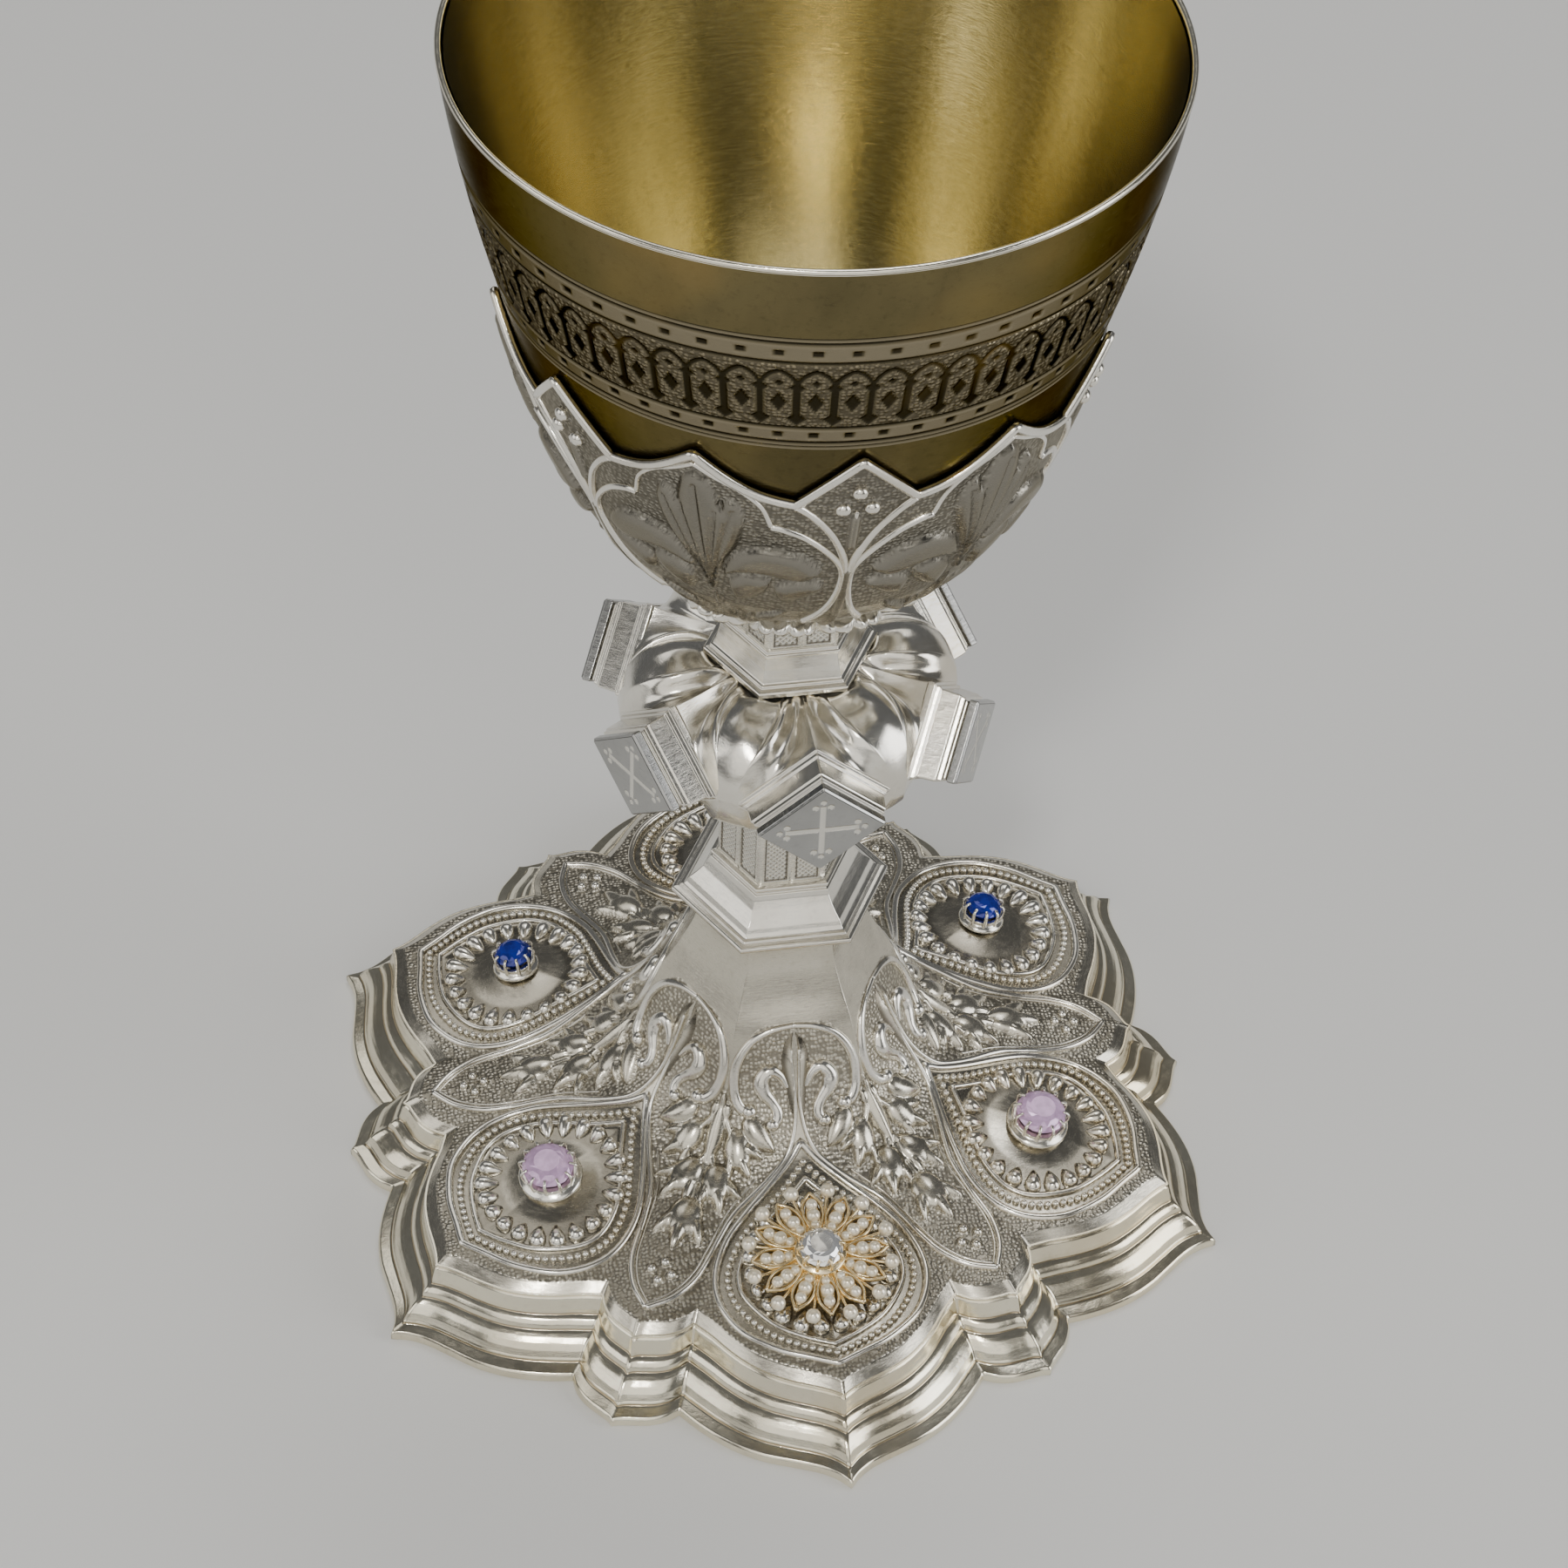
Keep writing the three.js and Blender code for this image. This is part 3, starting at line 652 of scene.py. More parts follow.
def foot_ring(name, low, high, rows, cols, *nodes):
    """One ring of the foot, shaded as if its neighbours went on from it."""
    gap = (high - low) / (rows - 1)
    along = low + gap * np.arange(-1, rows + 1)
    points, up, relief, ground, ink = foot_grid(np.clip(along, 0, FOOT_LENGTH), cols)
    points = points + up * relief[..., None]
    normals = corner_normals(grid(points, flip=True)).reshape(points.shape)[1:-1]
    shape = grid(points[1:-1], ink=ink[1:-1], ground=ground[1:-1], flip=True)
    piece(name, shape, CHASED, "silver", *nodes, normals=normals.reshape(-1, 3))


def foot():
    samples = np.linspace(0, FOOT_LENGTH, 800)
    radii = STATION_CURVES[0](samples)
    top, middle = float(np.interp(15.4, radii, samples)), float(np.interp(38, radii, samples))
    foot_ring("foot_neck", 0, top, 44, 490)
    foot_ring("foot_chased", top, middle, 100, 980)
    foot_ring("foot_plate", middle, FOOT_LENGTH, 100, 980, "foot_top")
    points, up, *_ = foot_grid(np.linspace(0.2, FOOT_LENGTH - 1.2, 50), 240)
    piece("foot_lining", grid(points - up * 1.6), DARK, "silver")


def foot_lines():
    """Raised lines, bead rows and the four dots at a leaf's tip."""
    lines, beads = [], []
    row = resample(np.vstack([BEADS, BEADS[:1]]), 72, True)
    dots = np.array([(0, 49.1), (1.75, 50.8), (0, 52.5), (-1.75, 50.8)])
    for turn in LARGE:
        for loop, width, tall in ((INNER, 0.5, 0.6), (OUTER, 0.7, 0.75)):
            lines.append(wire(*foot_points(loop, turn, -0.1), width, tall))
        beads += [ball(b, 0.62, 12, 7, 1.1, u) for b, u in zip(*foot_points(row, turn, 0.1))]
    for turn in SMALL:
        beads += [ball(b, 0.85, 12, 7, 1, u) for b, u in zip(*foot_points(dots, turn, 0.1))]
        for side in (1, -1):
            path = LEAF_SIDE * [side, 1]
            width = np.interp(LEAF_SIDE[:, 1], [16, 22, 30], [0.3, 0.4, 0.6])
            lines.append(wire(*foot_points(path, turn), width, 0.65, closed=False))
            path = resample(path[:70] * [0.88, 1] - [0, 0.9], 90)
            lines.append(wire(*foot_points(path, turn), 0.2, 0.25, closed=False))
    piece("foot_raised_lines", joined(lines), SILVER, "silver")
    piece("foot_bead_rows", joined(beads), SILVER, "silver")


def foot_rays():
    """A ring of tapered lumps round each stone."""
    rays = []
    a = 2 * np.pi * (np.arange(22) + 0.5) / 22
    reach = 10.7 * np.stack([np.sin(a), np.cos(a)], 1)
    for turn in LARGE:
        near, up = foot_points([0, STONE_OUT] + reach, turn, -0.3)
        far, _ = foot_points([0, STONE_OUT] + reach * 1.1, turn, -0.3)
        for k, way in enumerate(far - near):
            size = 1 + 0.16 * math.sin(5.1 * k + turn)
            rays.append(lump(near[k], way, up[k], 3.9 * size, 2.7, 1.5, 0.5))
    piece("foot_rays", joined(rays), SILVER, "silver")


def fleurons():
    """The curled frame and the scrolls on each face of the neck."""
    frame_line = [(0, 16.8), (3.8, 17), (7.4, 17.6), (9.7, 18.8), (10.1, 20.5), (9.1, 22.1), (7.9, 22.6)]
    scroll = [(1.5, 21.5), (2.6, 20.4), (4.3, 19.8), (5.7, 20.4), (5.4, 21.4), (4.3, 22.3), (3.4, 23.3),
              (3.5, 24.2), (4.3, 24.6)]
    # Each with its half widths from start to end, and its height.
    lines = ((frame_line, [0.5, 0.6, 0.75, 1, 1.1], 0.95), (scroll, [0.45, 1.2, 1.55, 1, 1], 1.5))
    shapes = []
    for turn in LARGE:
        for outline, widths, tall in lines:
            width = np.interp(np.linspace(0, 1, 56), np.linspace(0, 1, 5), widths)
            for side in (1, -1):
                base, up = foot_points(spline(outline, 56) * [side, 1], turn)
                shapes.append(wire(base, up, width, tall * width / max(widths), closed=False, sides=10))
                shapes.append(ball(base[-1], widths[-1] * 1.25, 12, 8, 1, up[-1]))
    piece("neck_fleurons", joined(shapes), SILVER, "silver")


# The rim's section: distance out from the plate's edge, height.
MOULDING = [
    (-3.2, 0), (9.2, 0), (9.6, 0.4), (9.6, 1.6), (9.2, 2.1), (7.3, 2.5), (7, 2.65), (6.95, 3), (6.7, 3.25),
    (6.5, 3.6), (6, 4.4), (5.2, 5.15), (4.3, 5.75), (3.5, 6.15), (2.9, 6.35), (2.8, 6.85), (2.5, 7.4),
    (1.9, 7.9), (1.35, 8.15), (0.9, 8.3), (0.8, 8.8), (0.72, 9.3), (0.5, 10), (0.3, 10.8), (0.1, 11.4),
    (-0.35, 11.75), (-0.4, 11.95), (0.05, 12.05), (0.1, 12.3), (0, 12.42), (-0.6, 12.42), (-3.2, 12)]


def foot_rim():
    profile = softened(MOULDING, 0.2, 2, True)
    sector = np.concatenate([np.linspace(0, VALLEY, 60), np.linspace(VALLEY, 30, 27)[1:]])
    sector = np.concatenate([sector, (60 - sector[1:-1])[::-1]])
    angle = (sector[None, :] + np.arange(0, 360, 60)[:, None]).ravel()[:, None]
    plate = plate_radius(angle)
    radius = plate + profile[None, :, 0] * (flange_radius(angle) - plate) / 9.6
    points = polar(radius, np.radians(angle), profile[None, :, 1])
    hollows = np.array([(7, 2.65), (2.88, 6.4), (0.88, 8.35), (-0.38, 11.85)])
    near = np.min([np.hypot(profile[:, 0] - x, profile[:, 1] - z) for x, z in hollows], axis=0)
    ink = np.broadcast_to(0.9 * step(0.3, 0.05, near), radius.shape)
    piece("rim_moulding", hoop(points, ink=ink), RIM, "silver", "foot_rim")


foot()
foot_lines()
foot_rays()
fleurons()
foot_rim()


# ---- stem and collars

# The knop's middle height, its bore and the stem's corner radius.
KNOP, BORE, STEM_RADIUS = 100, 8, 10.4
LOWER_COLLAR = [
    (8, 57.2), (17.4, 57.2), (17.85, 57.6), (17.85, 58.35), (17.3, 58.6), (16.6, 58.65), (16.5, 59),
    (15.9, 59.1), (15.4, 59.6), (14.9, 60.5), (13.9, 61.4), (12.8, 62.6), (11.9, 64), (11.6, 64.9),
    (11.2, 65), (11.2, 65.5), (11.6, 65.6), (11.6, 66.2), (10.8, 66.4), (8, 66.4)]
KNOP_COLLAR = [
    (8, 9.7), (13.2, 9.7), (13.6, 10), (13.6, 10.8), (13.1, 11.05), (12.6, 11.1), (12.5, 11.5), (12, 11.7),
    (11.7, 12.6), (11.3, 13.9), (11.05, 15.2), (10.9, 16), (11.25, 16.1), (11.25, 16.7), (10.9, 16.8),
    (10.8, 17.3), (8, 17.3)]


def collars():
    piece("collar_lower", hexagonal(LOWER_COLLAR), SILVER, "silver", "lower_collar")
    for name, way, node in (("collar_knop_top", 1, "knop_collar_upper"),
                            ("collar_knop_bottom", -1, "knop_collar_lower")):
        piece(name, hexagonal([(r, KNOP + way * z) for r, z in KNOP_COLLAR]), SILVER, "silver", node)


def stem_relief(across, up, low, high):
    """Two framed panels of crossed lines on a stem face."""
    u = np.abs(across)
    panel = np.minimum(np.minimum(u - 0.75, 4.25 - u), np.minimum(up - low - 0.9, high - 0.9 - up))
    lattice = np.minimum(np.abs(np.mod(across + up, 0.95) - 0.475), np.abs(np.mod(across - up, 0.95) - 0.475))
    lines = step(0.24, 0.12, lattice)
    frame_line = step(0.32, 0.16, np.abs(panel + 0.28))
    edge = step(0.24, 0.08, np.abs(panel - 0.04))
    return (np.where(panel > 0, 0.16 * lines - 0.2, 0.12 * frame_line),
            np.maximum(np.where(panel > 0, 0.5 * (1 - lines), 0), 0.9 * edge))


def stem(name, node, low, high):
    apothem, half = STEM_RADIUS * math.cos(math.pi / 6), STEM_RADIUS / 2 - 0.2
    u, z = np.meshgrid(np.linspace(-half, half, 84), np.linspace(low, high, int((high - low) / 0.125)))
    relief, ink = stem_relief(u, z, low, high)
    face = np.stack([u, apothem + relief - 0.03 * (np.abs(u) > half - 0.05), z], -1)
    points = np.concatenate([turned_to(face, turn) for turn in LARGE], axis=1)
    piece(name, grid(points, ink=np.tile(np.clip(ink, 0, 1), (1, 6))), ENGRAVED, "silver", node)


collars()
stem("stem_lower", "lower_stem", 66.2, 82.9)
stem("stem_upper", "upper_stem", 117.1, 128)


# ---- knop

# The rib beside a bulb, from the collar to the arm's side corner: across, out, height above the middle.
RIB = [(3.3, 11.2, 9.3), (4.2, 14.2, 9.6), (5.7, 17.4, 9.5), (7.8, 20.4, 8.6), (9.9, 22.4, 6.6),
       (11.5, 23.3, 3.6), (12.1, 23.7, 0)]
RIDGE = [(0, 10.4, 9.4), (0, 13, 9.5), (0, 15.6, 9.5), (0, 18.2, 9.5), (0, 20.6, 9.6), (0, 22.4, 9.8),
         (0, 23.1, 10)]
# The middle of a bulb: out, height above the knop's middle.
BULB = [(12.2, 9.2), (14.6, 10.5), (18.2, 10.7), (21.8, 9.3), (24.6, 6.5), (26.2, 3.2), (26.6, 0)]
ARM_STEPS = [(22.4, 11.5, 9.8), (22.8, 11.9, 10.1), (23.7, 11.9, 10.1), (23.9, 11.3, 9.65), (24.5, 11.2, 9.6),
             (24.7, 10.7, 9.2), (27.7, 10.5, 9.05), (27.9, 10.2, 8.8), (28.5, 10.1, 8.75), (28.7, 9.5, 8.2),
             (29.25, 9.5, 8.2)]


def lozenge_loft(stations):
    """Lozenge rings on the front arm, from (out, half width, half height)."""
    rings = []
    for out, width, height in stations:
        t, z = filleted([(width, 0), (0, height), (-width, 0), (0, -height)], 0.28).T
        rings.append(np.stack([t, np.full(len(t), out), KNOP + z], 1))
    return np.array(rings)


def knop_mouldings():
    rows = lozenge_loft(softened(ARM_STEPS, 0.12, 2))
    for k, turn in enumerate(LARGE):
        piece(f"knop_moulding_{k + 1}", tube(turned_to(rows, turn)), SILVER, "polished_silver")


def eased(count, sharp=1.6):
    """0 to 1, closely spaced at both ends."""
    t = np.linspace(-1, 1, count)
    return 0.5 + 0.5 * np.sign(t) * (1 - (1 - np.abs(t)) ** sharp)


def knop_half():
    """The upper half of one arm's +x side, from its ridge over the rib to the middle of the next bulb."""
    rows = 56
    ridge, rib, middle = spline(RIDGE, rows), spline(RIB, rows), spline(BULB, rows)
    middle = np.stack([middle[:, 0] * 0.5, middle[:, 0] * math.cos(math.pi / 6), middle[:, 1]], 1)
    t = np.linspace(0, 1, rows)[:, None, None]
    s = eased(26)[None, :, None]
    facet = ridge[:, None] * (1 - s) + rib[:, None] * s
    facet[..., 2:] -= 1.7 * np.sin(np.pi * np.clip(s / 0.62, 0, 1)) * (1 - t ** 3) * np.minimum(1, 4 * t)
    band = np.clip((s - 0.58) / 0.42, 0, 1)
    facet[..., 2:] += 0.8 * np.sin(np.pi * band) ** 0.7 * (1 - t ** 6) * np.minimum(1, 5 * t)
    ahead = np.gradient(middle, axis=0)
    up = unit(np.cross([math.cos(math.pi / 6), -0.5, 0], ahead))
    up *= np.sign(up[rows // 2, 2])
    across = middle - rib
    rise = (across * up).sum(1)[:, None] * up
    s = (1 - (1 - np.linspace(0, 1, 25)[1:]) ** 1.3)[None, :, None]
    bulb = rib[:, None] + (across - rise)[:, None] * s + rise[:, None] * (1 - (1 - s) ** 1.8)
    return np.concatenate([facet, bulb], axis=1)


def knop_body():
    half = knop_half()
    both = np.concatenate([half[:, :0:-1] * [-1, 1, 1], half], axis=1)[:, 1:]
    ring = np.concatenate([turned_to(both, turn) for turn in LARGE], axis=1)
    top, bottom = ring + [0, 0, KNOP], ring[::-1] * [1, 1, -1] + [0, 0, KNOP]
    a = np.arctan2(ring[0, :, 0], -ring[0, :, 1])
    bore = [polar(BORE, a, KNOP + z)[None] for z in (9.2, -9.2)]
    rows = np.concatenate([bore[0], top, bottom, bore[1]])
    piece("knop_arms_and_bulbs", hoop(rows), SILVER, "polished_silver", "knop_body")


def cross_relief(t, z):
    """A small cross with forked, dotted ends."""
    t, z = np.abs(t), np.abs(z)
    bars = np.minimum(np.maximum(t - 0.42, z - 4.9), np.maximum(z - 0.42, t - 5.6))
    dots = np.minimum.reduce([np.hypot(t - 1.15, z - 4.7) - 0.5, np.hypot(t, z - 5.7) - 0.45,
                              np.hypot(t - 5.4, z - 1.05) - 0.5, np.hypot(t - 6.5, z) - 0.45])
    return np.minimum(bars, dots)


def boss_plates():
    side = np.linspace(-1, 1, 110)
    a, b = np.meshgrid(side, side)
    width, height, front = 9.95, 8.65, 30.85
    inner = 1 - 0.55 / width
    t, z = (a + b) / 2 * width * inner, (a - b) / 2 * height * inner
    mark = cross_relief(t, z)
    face = np.stack([t, front - 0.14 * step(0.12, -0.1, mark), KNOP + z], -1)
    rim = [(front - 1.55, 9.7, 8.4), (front - 1.5, width, height), (front - 0.35, width, height),
           (front - 0.02, width * inner + 0.1, height * inner + 0.1),
           (front - 0.6, width * 0.9, height * 0.9)]
    rows = lozenge_loft(softened(rim, 0.1, 2))
    for k, turn in enumerate(LARGE):
        cut = grid(turned_to(face, turn), wrap=False, flip=True, mark=step(0.1, -0.05, mark))
        shape = joined([cut, tube(turned_to(rows, turn))])
        piece(f"boss_face_{k + 1}", shape, BOSS_FACE_PAINTED_DARK, "polished_silver", f"boss_plate_{k + 1}")


knop_body()
knop_mouldings()
boss_plates()


# ---- cup

# The cup's outside: height, radius.
CUP = np.array([
    (129.2, 9), (130.4, 13.2), (133.6, 19), (138, 24.4), (144, 29.6), (151.5, 33.8), (162, 37.7),
    (180, 42.8), (201, 48), (213, 50.3), (220.3, 51.4)])
CUP_LOW, CUP_HIGH = CUP[[0, -1], 0]
cup_radius = smooth_curve(CUP[:, 0], CUP[:, 1])
BAND_LOW, BAND_HIGH = 185.9, 208.6
BAND_CELLS, BAND_PITCH = 60, 5.05


def band_relief(across, z):
    """The engraved band: how deep it is cut, and 1 where it is cut, 0 elsewhere."""
    cut = np.full(np.shape(z), 9)
    for line, half in ((186.3, 0.16), (187.2, 0.3), (190.4, 0.3), (203.6, 0.3), (207.4, 0.3), (208.3, 0.16)):
        cut = np.minimum(cut, np.abs(z - line) - half)
    for middle in (188.8, 205.5):
        dash = np.abs(np.mod(across, BAND_PITCH) - BAND_PITCH / 2)
        cut = np.minimum(cut, np.maximum(np.abs(z - middle) - 0.55, dash - 0.75))
    u = np.abs(np.mod(across, BAND_PITCH) - BAND_PITCH / 2)
    side = BAND_PITCH / 2 - u
    bar = np.maximum(side - 0.62, np.abs(z - 195.2) - 3.4)
    foot = side + np.abs(z - 192.2) - 1.5
    head = side + np.abs(z - 198.6) - 1.25
    arch = np.maximum(np.abs(np.hypot(u + 1.2, z - 198.4) - BAND_PITCH / 2 - 1.2) - 0.42, 198.4 - z)
    leaf = u * 1.7 + np.abs(z - 195.6) - 2.1
    bud = u + np.abs(z - 199.5) - 0.75
    for part in (bar, foot, head, arch, leaf, bud):
        cut = np.minimum(cut, part)
    share = step(0.12, -0.12, cut)
    return -0.22 * share, share


def cup():
    a, few = full_turn(1000), full_turn(250)
    z = np.linspace(BAND_LOW, BAND_HIGH, 92)[:, None]
    across = np.degrees(a)[None, :] / 360 * BAND_CELLS * BAND_PITCH
    relief, cut = band_relief(across, z)
    inner = (z > 190.7) & (z < 203.3)
    points = polar(cup_radius(z) + relief, a, z)
    shapes = [grid(points, ink=cut * 0.95, ground=(1 - cut) * inner, mark=(1 - cut) * 0.9)]
    for heights in (np.linspace(CUP_LOW, BAND_LOW, 26), np.linspace(BAND_HIGH, CUP_HIGH, 12)):
        shapes.append(grid(polar(cup_radius(heights)[:, None], few, heights[:, None])))
    piece("cup_outside", joined(shapes), GILT_PAINTED_DARK, "gilt", "cup")
    lip = np.array([(51.38, 220.1), (51.4, 220.5), (51.25, 220.78), (50.95, 220.86), (50.65, 220.75),
                    (50.5, 220.4), (50.4, 219.9)])
    piece("cup_lip", grid(polar(lip[:, :1], few, lip[:, 1:])), LIP, "gilt")
    z = np.linspace(220.1, 131, 90)
    slope = cup_radius(z + 0.5) - cup_radius(z - 0.5)
    wall = np.minimum(1.2 * np.sqrt(1 + slope * slope), 4)
    radius = np.append(np.maximum(cup_radius(z) - wall, 0.5), 0.3)
    piece("cup_inside", grid(polar(radius[:, None], few, np.append(z, 130.8)[:, None])), INSIDE, "gilt")


# ---- calyx

TIP_LARGE, TIP_SMALL, CALYX_VALLEY, VALLEY_ANGLE = 182.9, 184.3, 174.9, 11.3


def calyx_edge(angle):
    a = folded(angle)
    narrow = TIP_SMALL + (CALYX_VALLEY - TIP_SMALL) * a / VALLEY_ANGLE
    t = (a - VALLEY_ANGLE) / (30 - VALLEY_ANGLE)
    wide = CALYX_VALLEY + (TIP_LARGE - CALYX_VALLEY) * (t - 0.2 * np.sin(np.pi * t))
    return np.where(a < VALLEY_ANGLE, narrow, wide)


# Leaf patches on a wide lobe, half of each: degrees from its middle, height.
PALMETTE = [(0, 179.4), (2.4, 177.6), (3.9, 174), (4.3, 172.2), (5.2, 173.7), (6.8, 174.5), (8.5, 172.4),
            (8.7, 169), (7.2, 164.4), (4.3, 159.8), (2.1, 156), (1.1, 152.4), (0, 150.6)]
PETAL = [(3.4, 156.2), (5.6, 160.8), (9, 163), (14, 163.9), (20.5, 162.4), (24.6, 159.2), (23.4, 157.6),
         (20, 156.5), (12, 157.8), (7, 157.2)]
LENS = [(4.1, 153.9), (7, 156.4), (10, 157), (13.6, 155.8), (12.5, 152.8), (8.7, 150.2), (5.4, 149.4)]
CURL = [(14.6, 154.2), (17.9, 155.7), (22.6, 156.4), (25.4, 154.6), (22, 152.2), (18.8, 150.8), (15.4, 150.8)]
FRAME = [(0, 180.6), (3.5, 178.8), (8.3, 176.7), (12.2, 173.5), (14, 169.2)]
SWEEP = [(14, 169.2), (16.2, 168.9), (20.8, 167), (25.6, 163.2), (28.6, 159.4), (29.1, 155.5), (28.2, 150.6),
         (26, 146), (22, 141.5)]
# The border of a narrow lobe: degrees from its middle, height.
BORDER = [(11.3, 174.4), (8.2, 172.2), (4.2, 167.8), (1.4, 162.4), (0.5, 158.5)]
WIDE_DEGREE = 0.67


def calyx_relief(angle, z):
    """Leaves on the wide lobes, a sprig on the narrow ones: height, 1 where stippled, and how dark."""
    x = np.abs(np.mod(angle, 60) - 30) * WIDE_DEGREE
    xl = np.abs(np.mod(angle + 30, 60) - 30) * WIDE_DEGREE
    z = np.broadcast_to(z, x.shape) if np.ndim(x) > np.ndim(z) else z
    scale = np.array([WIDE_DEGREE, 1])
    half = spline(PALMETTE, 70) * scale
    palm = 1.3 * raised(mirrored(half), x, z, 2.2)
    veins = [distance_to(np.array([(0, 152), end]), x, z) for end in ((0, 177), (2.3, 171.5), (4.6, 172.5))]
    shapes = [palm - 0.5 * step(0.5, 0.05, np.min(veins, axis=0)) * (palm > 0.7)]
    for path, tall in ((PETAL, 1.2), (LENS, 1.1), (CURL, 1)):
        shapes.append(tall * raised(spline(path, 50, True) * scale, x, z, 1.9))
    for k in range(4):
        low = 133.5 + 2.4 * k
        shapes.append(0.8 * tear(x, z, (1.5 + 1.2 * k, low), (2.6 + 3 * k, low + 9.5 - 1.3 * k), 3.2))
    shapes.append(0.75 * tear(x, z, (0, 134), (0, 149.5), 3))
    for cx, cy in ((0, 177.2), (1.85, 174.1)):
        shapes.append(pillow(oval(xl, z, cx, cy, 1, 1)))
    shapes.append(0.55 * pillow(1 - distance_to(np.array([(0, 164.6), (0, 171.6)]), xl, z) / 0.7))
    shapes.append(0.6 * pillow(1 - distance_to(np.array([(0, 134), (0, 158.6)]), xl, z) / 0.9))
    leaf = np.max(shapes, axis=0)
    vein = 0.5 * step(0.5, 0.1, np.min(veins, axis=0)) * (palm > 0.7)
    # Painted shade: the low slopes round every raised leaf are coloured darker; the palmette's veins are dark
    # lines.
    ink = 0.8 * step(0.6, 0.15, leaf) * (leaf > 0.01) + vein
    # Painted dark reflection: the high, smooth parts of the leaves are coloured darker, in place of the dark
    # surroundings they reflect.
    ink = np.maximum(ink, 0.42 * (leaf > 0.5))
    return leaf, np.where((leaf > 0.1) | (z < 146), 0, 1), np.clip(ink, 0, 1)


def on_cup(angle, z, lift):
    """Points at a height above the cup's outside, and the way up there."""
    slope = (cup_radius(z + 0.4) - cup_radius(z - 0.4)) / 0.8
    scale = np.sqrt(1 + slope ** 2)
    radius = cup_radius(z) + lift / scale
    a = np.radians(np.broadcast_to(angle, radius.shape))
    return polar(radius, a, z - lift * slope / scale), polar(1, a, -slope) / scale[..., None]


def calyx():
    angle = np.broadcast_to(np.linspace(0, 360, 820, endpoint=False)[None, :], (120, 820))
    z = 130.2 + (calyx_edge(angle) - 130.2) * np.linspace(0, 1, 120)[:, None]
    leaf, ground, ink = calyx_relief(angle, z)
    points, _ = on_cup(angle, z, 1 + leaf)
    piece("calyx_skin", grid(points, ground=ground, ink=ink), CALYX, "silver", "calyx")
    lines = [wire(*on_cup(angle[-1], z[-1] - 0.4, 0.9), 0.75, 0.7)]
    for turn in LARGE:
        for path, start, width in ((FRAME, 30, 0.42), (SWEEP, 30, 0.6), (BORDER, 0, 0.65)):
            line = spline(path, 70)
            for side in (1, -1):
                points, up = on_cup(turn + start + side * line[:, 0], line[:, 1], 0.95)
                lines.append(wire(points, up, width, width * 1.1, closed=False))
        for across, height in ((0, 177.6), (2.7, 174), (-2.7, 174)):
            centre, up = on_cup(np.array([turn + across]), np.array([height]), 1.3)
            lines.append(ball(centre[0], 1.15, 14, 8, 0.8, up[0]))
        stalk = on_cup(np.full(12, turn), np.linspace(165, 173, 12), 1)
        lines.append(wire(*stalk, 0.35, 0.5, closed=False))
    piece("calyx_lines", joined(lines), SILVER, "silver")


def calyx_fringe():
    """The curled, scalloped leaves round the calyx's base."""
    turn = full_turn(720)
    leaf = np.abs(np.sin(6 * turn)) ** 0.6
    scallop = np.abs(np.sin(30 * turn)) ** 0.7
    reach = 18.8 + 4.4 * leaf + 0.9 * scallop * leaf
    droop = 130.9 + 1.9 * leaf - 0.6 * np.cos(12 * turn)
    rib = 0.5 * np.cos(30 * turn)
    # How far out, inner radius, height, how ribbed.
    rows = [(0, 15, 128.9, 0), (0, 15, 133, 0), (0.35, 16, 133.6, 0), (0.7, 16, 133.2, 1),
            (0.93, 16, 132.2, 1), (1, 16, 131.4, 0.5), (0.97, 16, 130.7, 0), (0.8, 16, 130.5, 0),
            (0.4, 15.5, 130, 0)]
    skirt = hoop(np.array([polar(inner + (reach - inner) * share, turn,
                                 z + (droop - 130.9) * share + rib * ribbed)
                           for share, inner, z, ribbed in rows]))
    profile = [(8, 127.2), (11.6, 127.2), (12.2, 127.8), (12.6, 129.4), (15.4, 130.2), (15.4, 131.4),
               (8, 131.4)]
    base = hoop(np.array([polar(r, full_turn(96), z) for r, z in softened(profile, 0.3, closed=True)]))
    piece("calyx_fringe", joined([skirt, base]), SILVER, "silver")


cup()
calyx()
calyx_fringe()


# ---- stones

def stone_frame(turn, out):
    """Centre, and the sideways, outward and up directions, of a seat on the plate."""
    base, up = foot_points(np.array([(0, out)]), turn)
    side = turned_to(np.array([1, 0, 0]), turn)
    return base[0], side, np.cross(side, up[0]), up[0]


def placed(points, seat):
    base, side, out, up = seat
    return base + points[..., :1] * side + points[..., 1:2] * out + points[..., 2:] * up


def facet_ring(radius_x, radius_y, height, count, shift=0):
    a = 2 * math.pi * (np.arange(count) + shift) / count
    return np.stack([radius_x * np.sin(a), radius_y * np.cos(a), np.full(count, height)], 1)


def cut_stone(seat, rx, ry, low, n=16):
    """Girdle, crown facets, table and pavilion."""
    # Share of the radius, height, how far the facets are turned.
    rings = [(0.15, -0.2, 0), (0.7, 1.1, 0.5), (1, 2.3, 0), (1, 2.5, 0), (0.86, 3.25, 0.5), (0.68, 3.75, 0),
             (0.5, 4, 0.5)]
    points = np.array([facet_ring(rx * share, ry * share, low + z, n, shift) for share, z, shift in rings])
    shape = grid(placed(points, seat))
    shape.faces = [np.vstack([f[:, [0, 1, 2]], f[:, [0, 2, 3]]]) for f in shape.faces]
    return outward(capped(shape, len(rings), n))


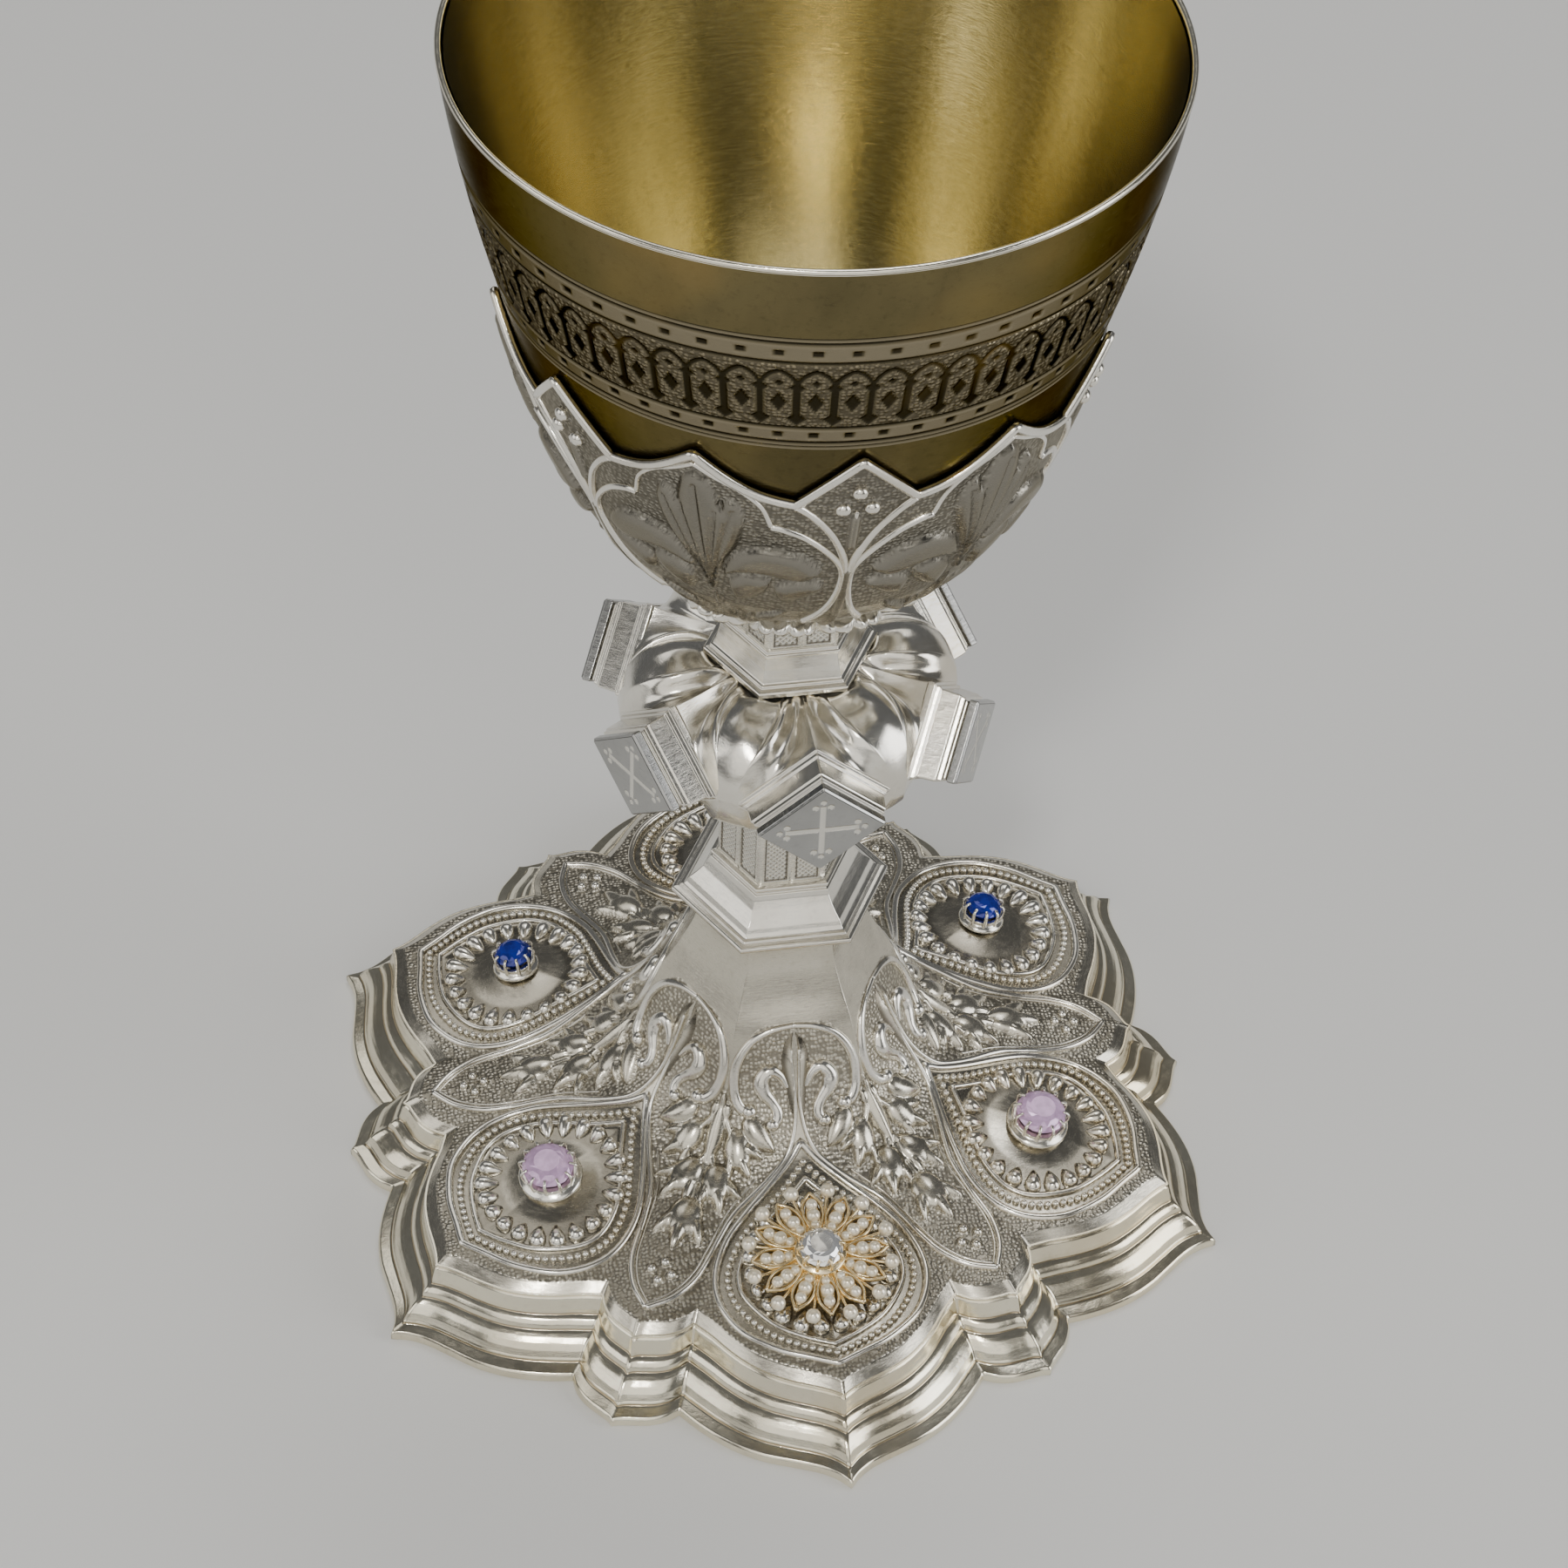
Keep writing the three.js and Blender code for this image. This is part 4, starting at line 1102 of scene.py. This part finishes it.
def claw_collet(seat, rx, ry, low, claws):
    """A dished mount with claws folded over the stone's girdle."""
    profile = [(0.75, low - 0.9), (1.28, low - 0.9), (1.22, low - 0.3), (1.02, low + 0.2), (1.02, low + 0.7),
               (1.1, low + 1), (0.9, low + 1.1), (0.75, low + 0.2)]
    rings = [facet_ring(rx * s, ry * s, z, 48) for s, z in softened(profile, 0.2, closed=True)]
    shapes = [hoop(placed(np.array(rings), seat))]
    claw = spline([(1.02, low - 0.2), (1.08, low + 1), (1.12, low + 2.2), (1.02, low + 2.9),
                   (0.86, low + 3.2)], 14)
    taper = np.linspace(1, 0.6, len(claw))
    for k in range(claws):
        a = 2 * math.pi * (k + 0.5) / claws
        sx, sy = math.sin(a), math.cos(a)
        points = np.stack([rx * claw[:, 0] * sx, ry * claw[:, 0] * sy, claw[:, 1]], 1)
        way = placed(np.array([[sx, sy, 0.6]]), (0, *seat[1:]))[0]
        ups = np.tile(unit(way), (len(claw), 1))
        shapes.append(wire(placed(points, seat), ups, 0.42 * taper, 0.36 * taper, closed=False))
    return joined(shapes)


# Lobe number, half widths of the stone, slot, claws.
STONES = [(1, 4.4, 4.2, "amethyst", 12), (2, 3.2, 3.2, "sapphire", 10), (3, 4.3, 4.3, "amethyst", 12),
          (4, 3.2, 3.2, "sapphire", 10), (5, 4.4, 4.2, "amethyst", 12)]
GLASS = {"amethyst": AMETHYST, "sapphire": SAPPHIRE}
for lobe, rx, ry, slot, claws in STONES:
    seat = stone_frame(60 * lobe, STONE_OUT)
    piece(f"gem_{lobe}", cut_stone(seat, rx, ry, 1.6), GLASS[slot], slot, f"stone_{lobe}", soft=False)
    piece(f"gem_mount_{lobe}", claw_collet(seat, rx, ry, 1.9, claws), SILVER, "silver", f"collet_{lobe}")


# ---- star brooch

def brooch():
    seat = stone_frame(0, 46.5)
    gold, pearls = [], []
    lift = 2.2

    def flat_wire(plan, height, width, tall):
        path = placed(np.column_stack([plan, np.full(len(plan), height)]), seat)
        gold.append(wire(path, np.tile(seat[3], (len(path), 1)), width, tall, closed=False))

    def seed(plan, height):
        return placed(np.array([*plan, height]), seat)

    edge = spline([(3.8, 0), (5.2, 1), (7.2, 1.65), (9.2, 1.4), (11.2, 0)], 22)
    plate_width = 1.4 * np.sin(np.linspace(0.15, 0.97, 10) * math.pi) ** 0.7
    for k in range(12):
        a = 2 * math.pi * k / 12
        way, off = np.array([math.sin(a), math.cos(a)]), np.array([math.cos(a), -math.sin(a)])
        for side in (1, -1):
            flat_wire(edge[:, :1] * way + side * edge[:, 1:] * off, lift, 0.28, 0.5)
        flat_wire(np.linspace(4, 10.4, 10)[:, None] * way, lift - 0.25, plate_width, 0.22)
        for out, size in ((5.2, 0.75), (6.9, 1.15), (8.9, 1)):
            pearls.append(ball(seed(out * way, lift + 0.3), size, 16, 10))
        b = a + math.pi / 12
        mid = np.array([math.sin(b), math.cos(b)])
        flat_wire(np.linspace(3.6, 11, 8)[:, None] * mid, lift - 0.3, 0.26, 0.26)
        gold.append(ball(seed(11.6 * mid, lift - 0.45), 0.85, 14, 8, 0.6, seat[3]))
        pearls.append(ball(seed(11.6 * mid, lift + 0.3), 1.25, 18, 12))
    cup_profile = [(2.6, 0.2), (4.9, 0.2), (4.7, 1.4), (4.2, 2.9), (3.4, 3.3), (3.2, 2.4), (2.6, 1.2)]
    ring = [facet_ring(r, r, z, 40) for r, z in softened(cup_profile, 0.2, closed=True)]
    gold.append(hoop(placed(np.array(ring), seat)))
    piece("brooch_gold", joined(gold), GOLD, "gold", "brooch_star")
    piece("brooch_pearls", joined(pearls), PEARL, "gold")
    piece("brooch_claws", claw_collet(seat, 3.5, 3.5, 2.1, 10), GOLD, "gold")
    piece("brooch_stone", cut_stone(seat, 3.6, 3.6, 1.9), DIAMOND, "diamond", "brooch_diamond", soft=False)


brooch()


# ---- inner fastenings

for name in ("tie_rod", "dished_washer", "rod_nut"):
    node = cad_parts[name]
    node.data.materials.clear()
    node.data.materials.append(DARK)


# ---- camera, light and floor

# The camera: angles in degrees, then the height it looks at, its distance and focal length in millimetres.
AZIMUTH, ELEVATION, ROLL = -11.340, 44.684, 2.547
AIM_HEIGHT, DISTANCE, FOCAL_LENGTH = 79.5, 645.96, 93.359


def camera():
    az, el, roll = (math.radians(angle) for angle in (AZIMUTH, ELEVATION, ROLL))
    back = Vector((math.sin(az) * math.cos(el), -math.cos(az) * math.cos(el), math.sin(el)))
    ahead = -back
    right = ahead.cross(Vector((0, 0, 1))).normalized()
    up = right.cross(ahead)
    x = right * math.cos(roll) + up * math.sin(roll)
    y = -right * math.sin(roll) + up * math.cos(roll)
    data = bpy.data.cameras.new("camera")
    data.lens, data.sensor_width = FOCAL_LENGTH, 36
    data.clip_start, data.clip_end = 0.01, 50
    made = bpy.data.objects.new("camera", data)
    place = Vector((0, 0, AIM_HEIGHT * MM)) + back * (DISTANCE * MM)
    made.matrix_world = Matrix.Translation(place) @ Matrix((x, y, back)).transposed().to_4x4()
    bpy.context.scene.collection.objects.link(made)
    bpy.context.scene.camera = made


def area_light(name, place, size, power, colour=(1, 1, 1), target=(0, 0, 0.08)):
    data = bpy.data.lights.new(name, "AREA")
    data.shape = "RECTANGLE"
    data.size, data.size_y = size
    data.energy = power
    data.color = colour
    made = bpy.data.objects.new(name, data)
    made.location = place
    made.rotation_euler = (Vector(target) - Vector(place)).to_track_quat("-Z", "Y").to_euler()
    bpy.context.scene.collection.objects.link(made)


def studio():
    mesh = bpy.data.meshes.new("floor")
    mesh.from_pydata([(-3, -3, 0), (3, -3, 0), (3, 3, 0), (-3, 3, 0)], [], [(0, 1, 2, 3)])
    floor = bpy.data.objects.new("floor", mesh)
    bpy.context.scene.collection.objects.link(floor)
    paint = Paint("floor_paint")
    pale = paint.mix(paint.noise(3, 2), (0.76, 0.76, 0.75), (0.80, 0.80, 0.79))
    mesh.materials.append(paint.finished(Base_Color=pale, Roughness=0.7))
    world = bpy.data.worlds.new("studio")
    world.use_nodes = True
    world.node_tree.nodes["Background"].inputs["Color"].default_value = (0.12, 0.122, 0.125, 1)
    bpy.context.scene.world = world
    warm, soft = (1, 0.975, 0.92), (1, 0.98, 0.94)
    area_light("front", (-0.3, -1.33, 0.88), (2, 1.55), 11, warm)
    area_light("key", (-0.4, -1, 1.4), (0.16, 0.16), 6.5, soft)
    area_light("left", (-1.3, -0.2, 0.65), (1, 1), 4.8, soft)
    area_light("right", (1.2, -0.5, 0.5), (0.7, 1), 8.5)
    area_light("back", (0, 0.85, 1.4), (1.7, 0.75), 4.8, warm)
    area_light("top", (0.25, 0.45, 1.4), (0.4, 0.4), 2.6, target=(0, 0, 0.1))


camera()
studio()
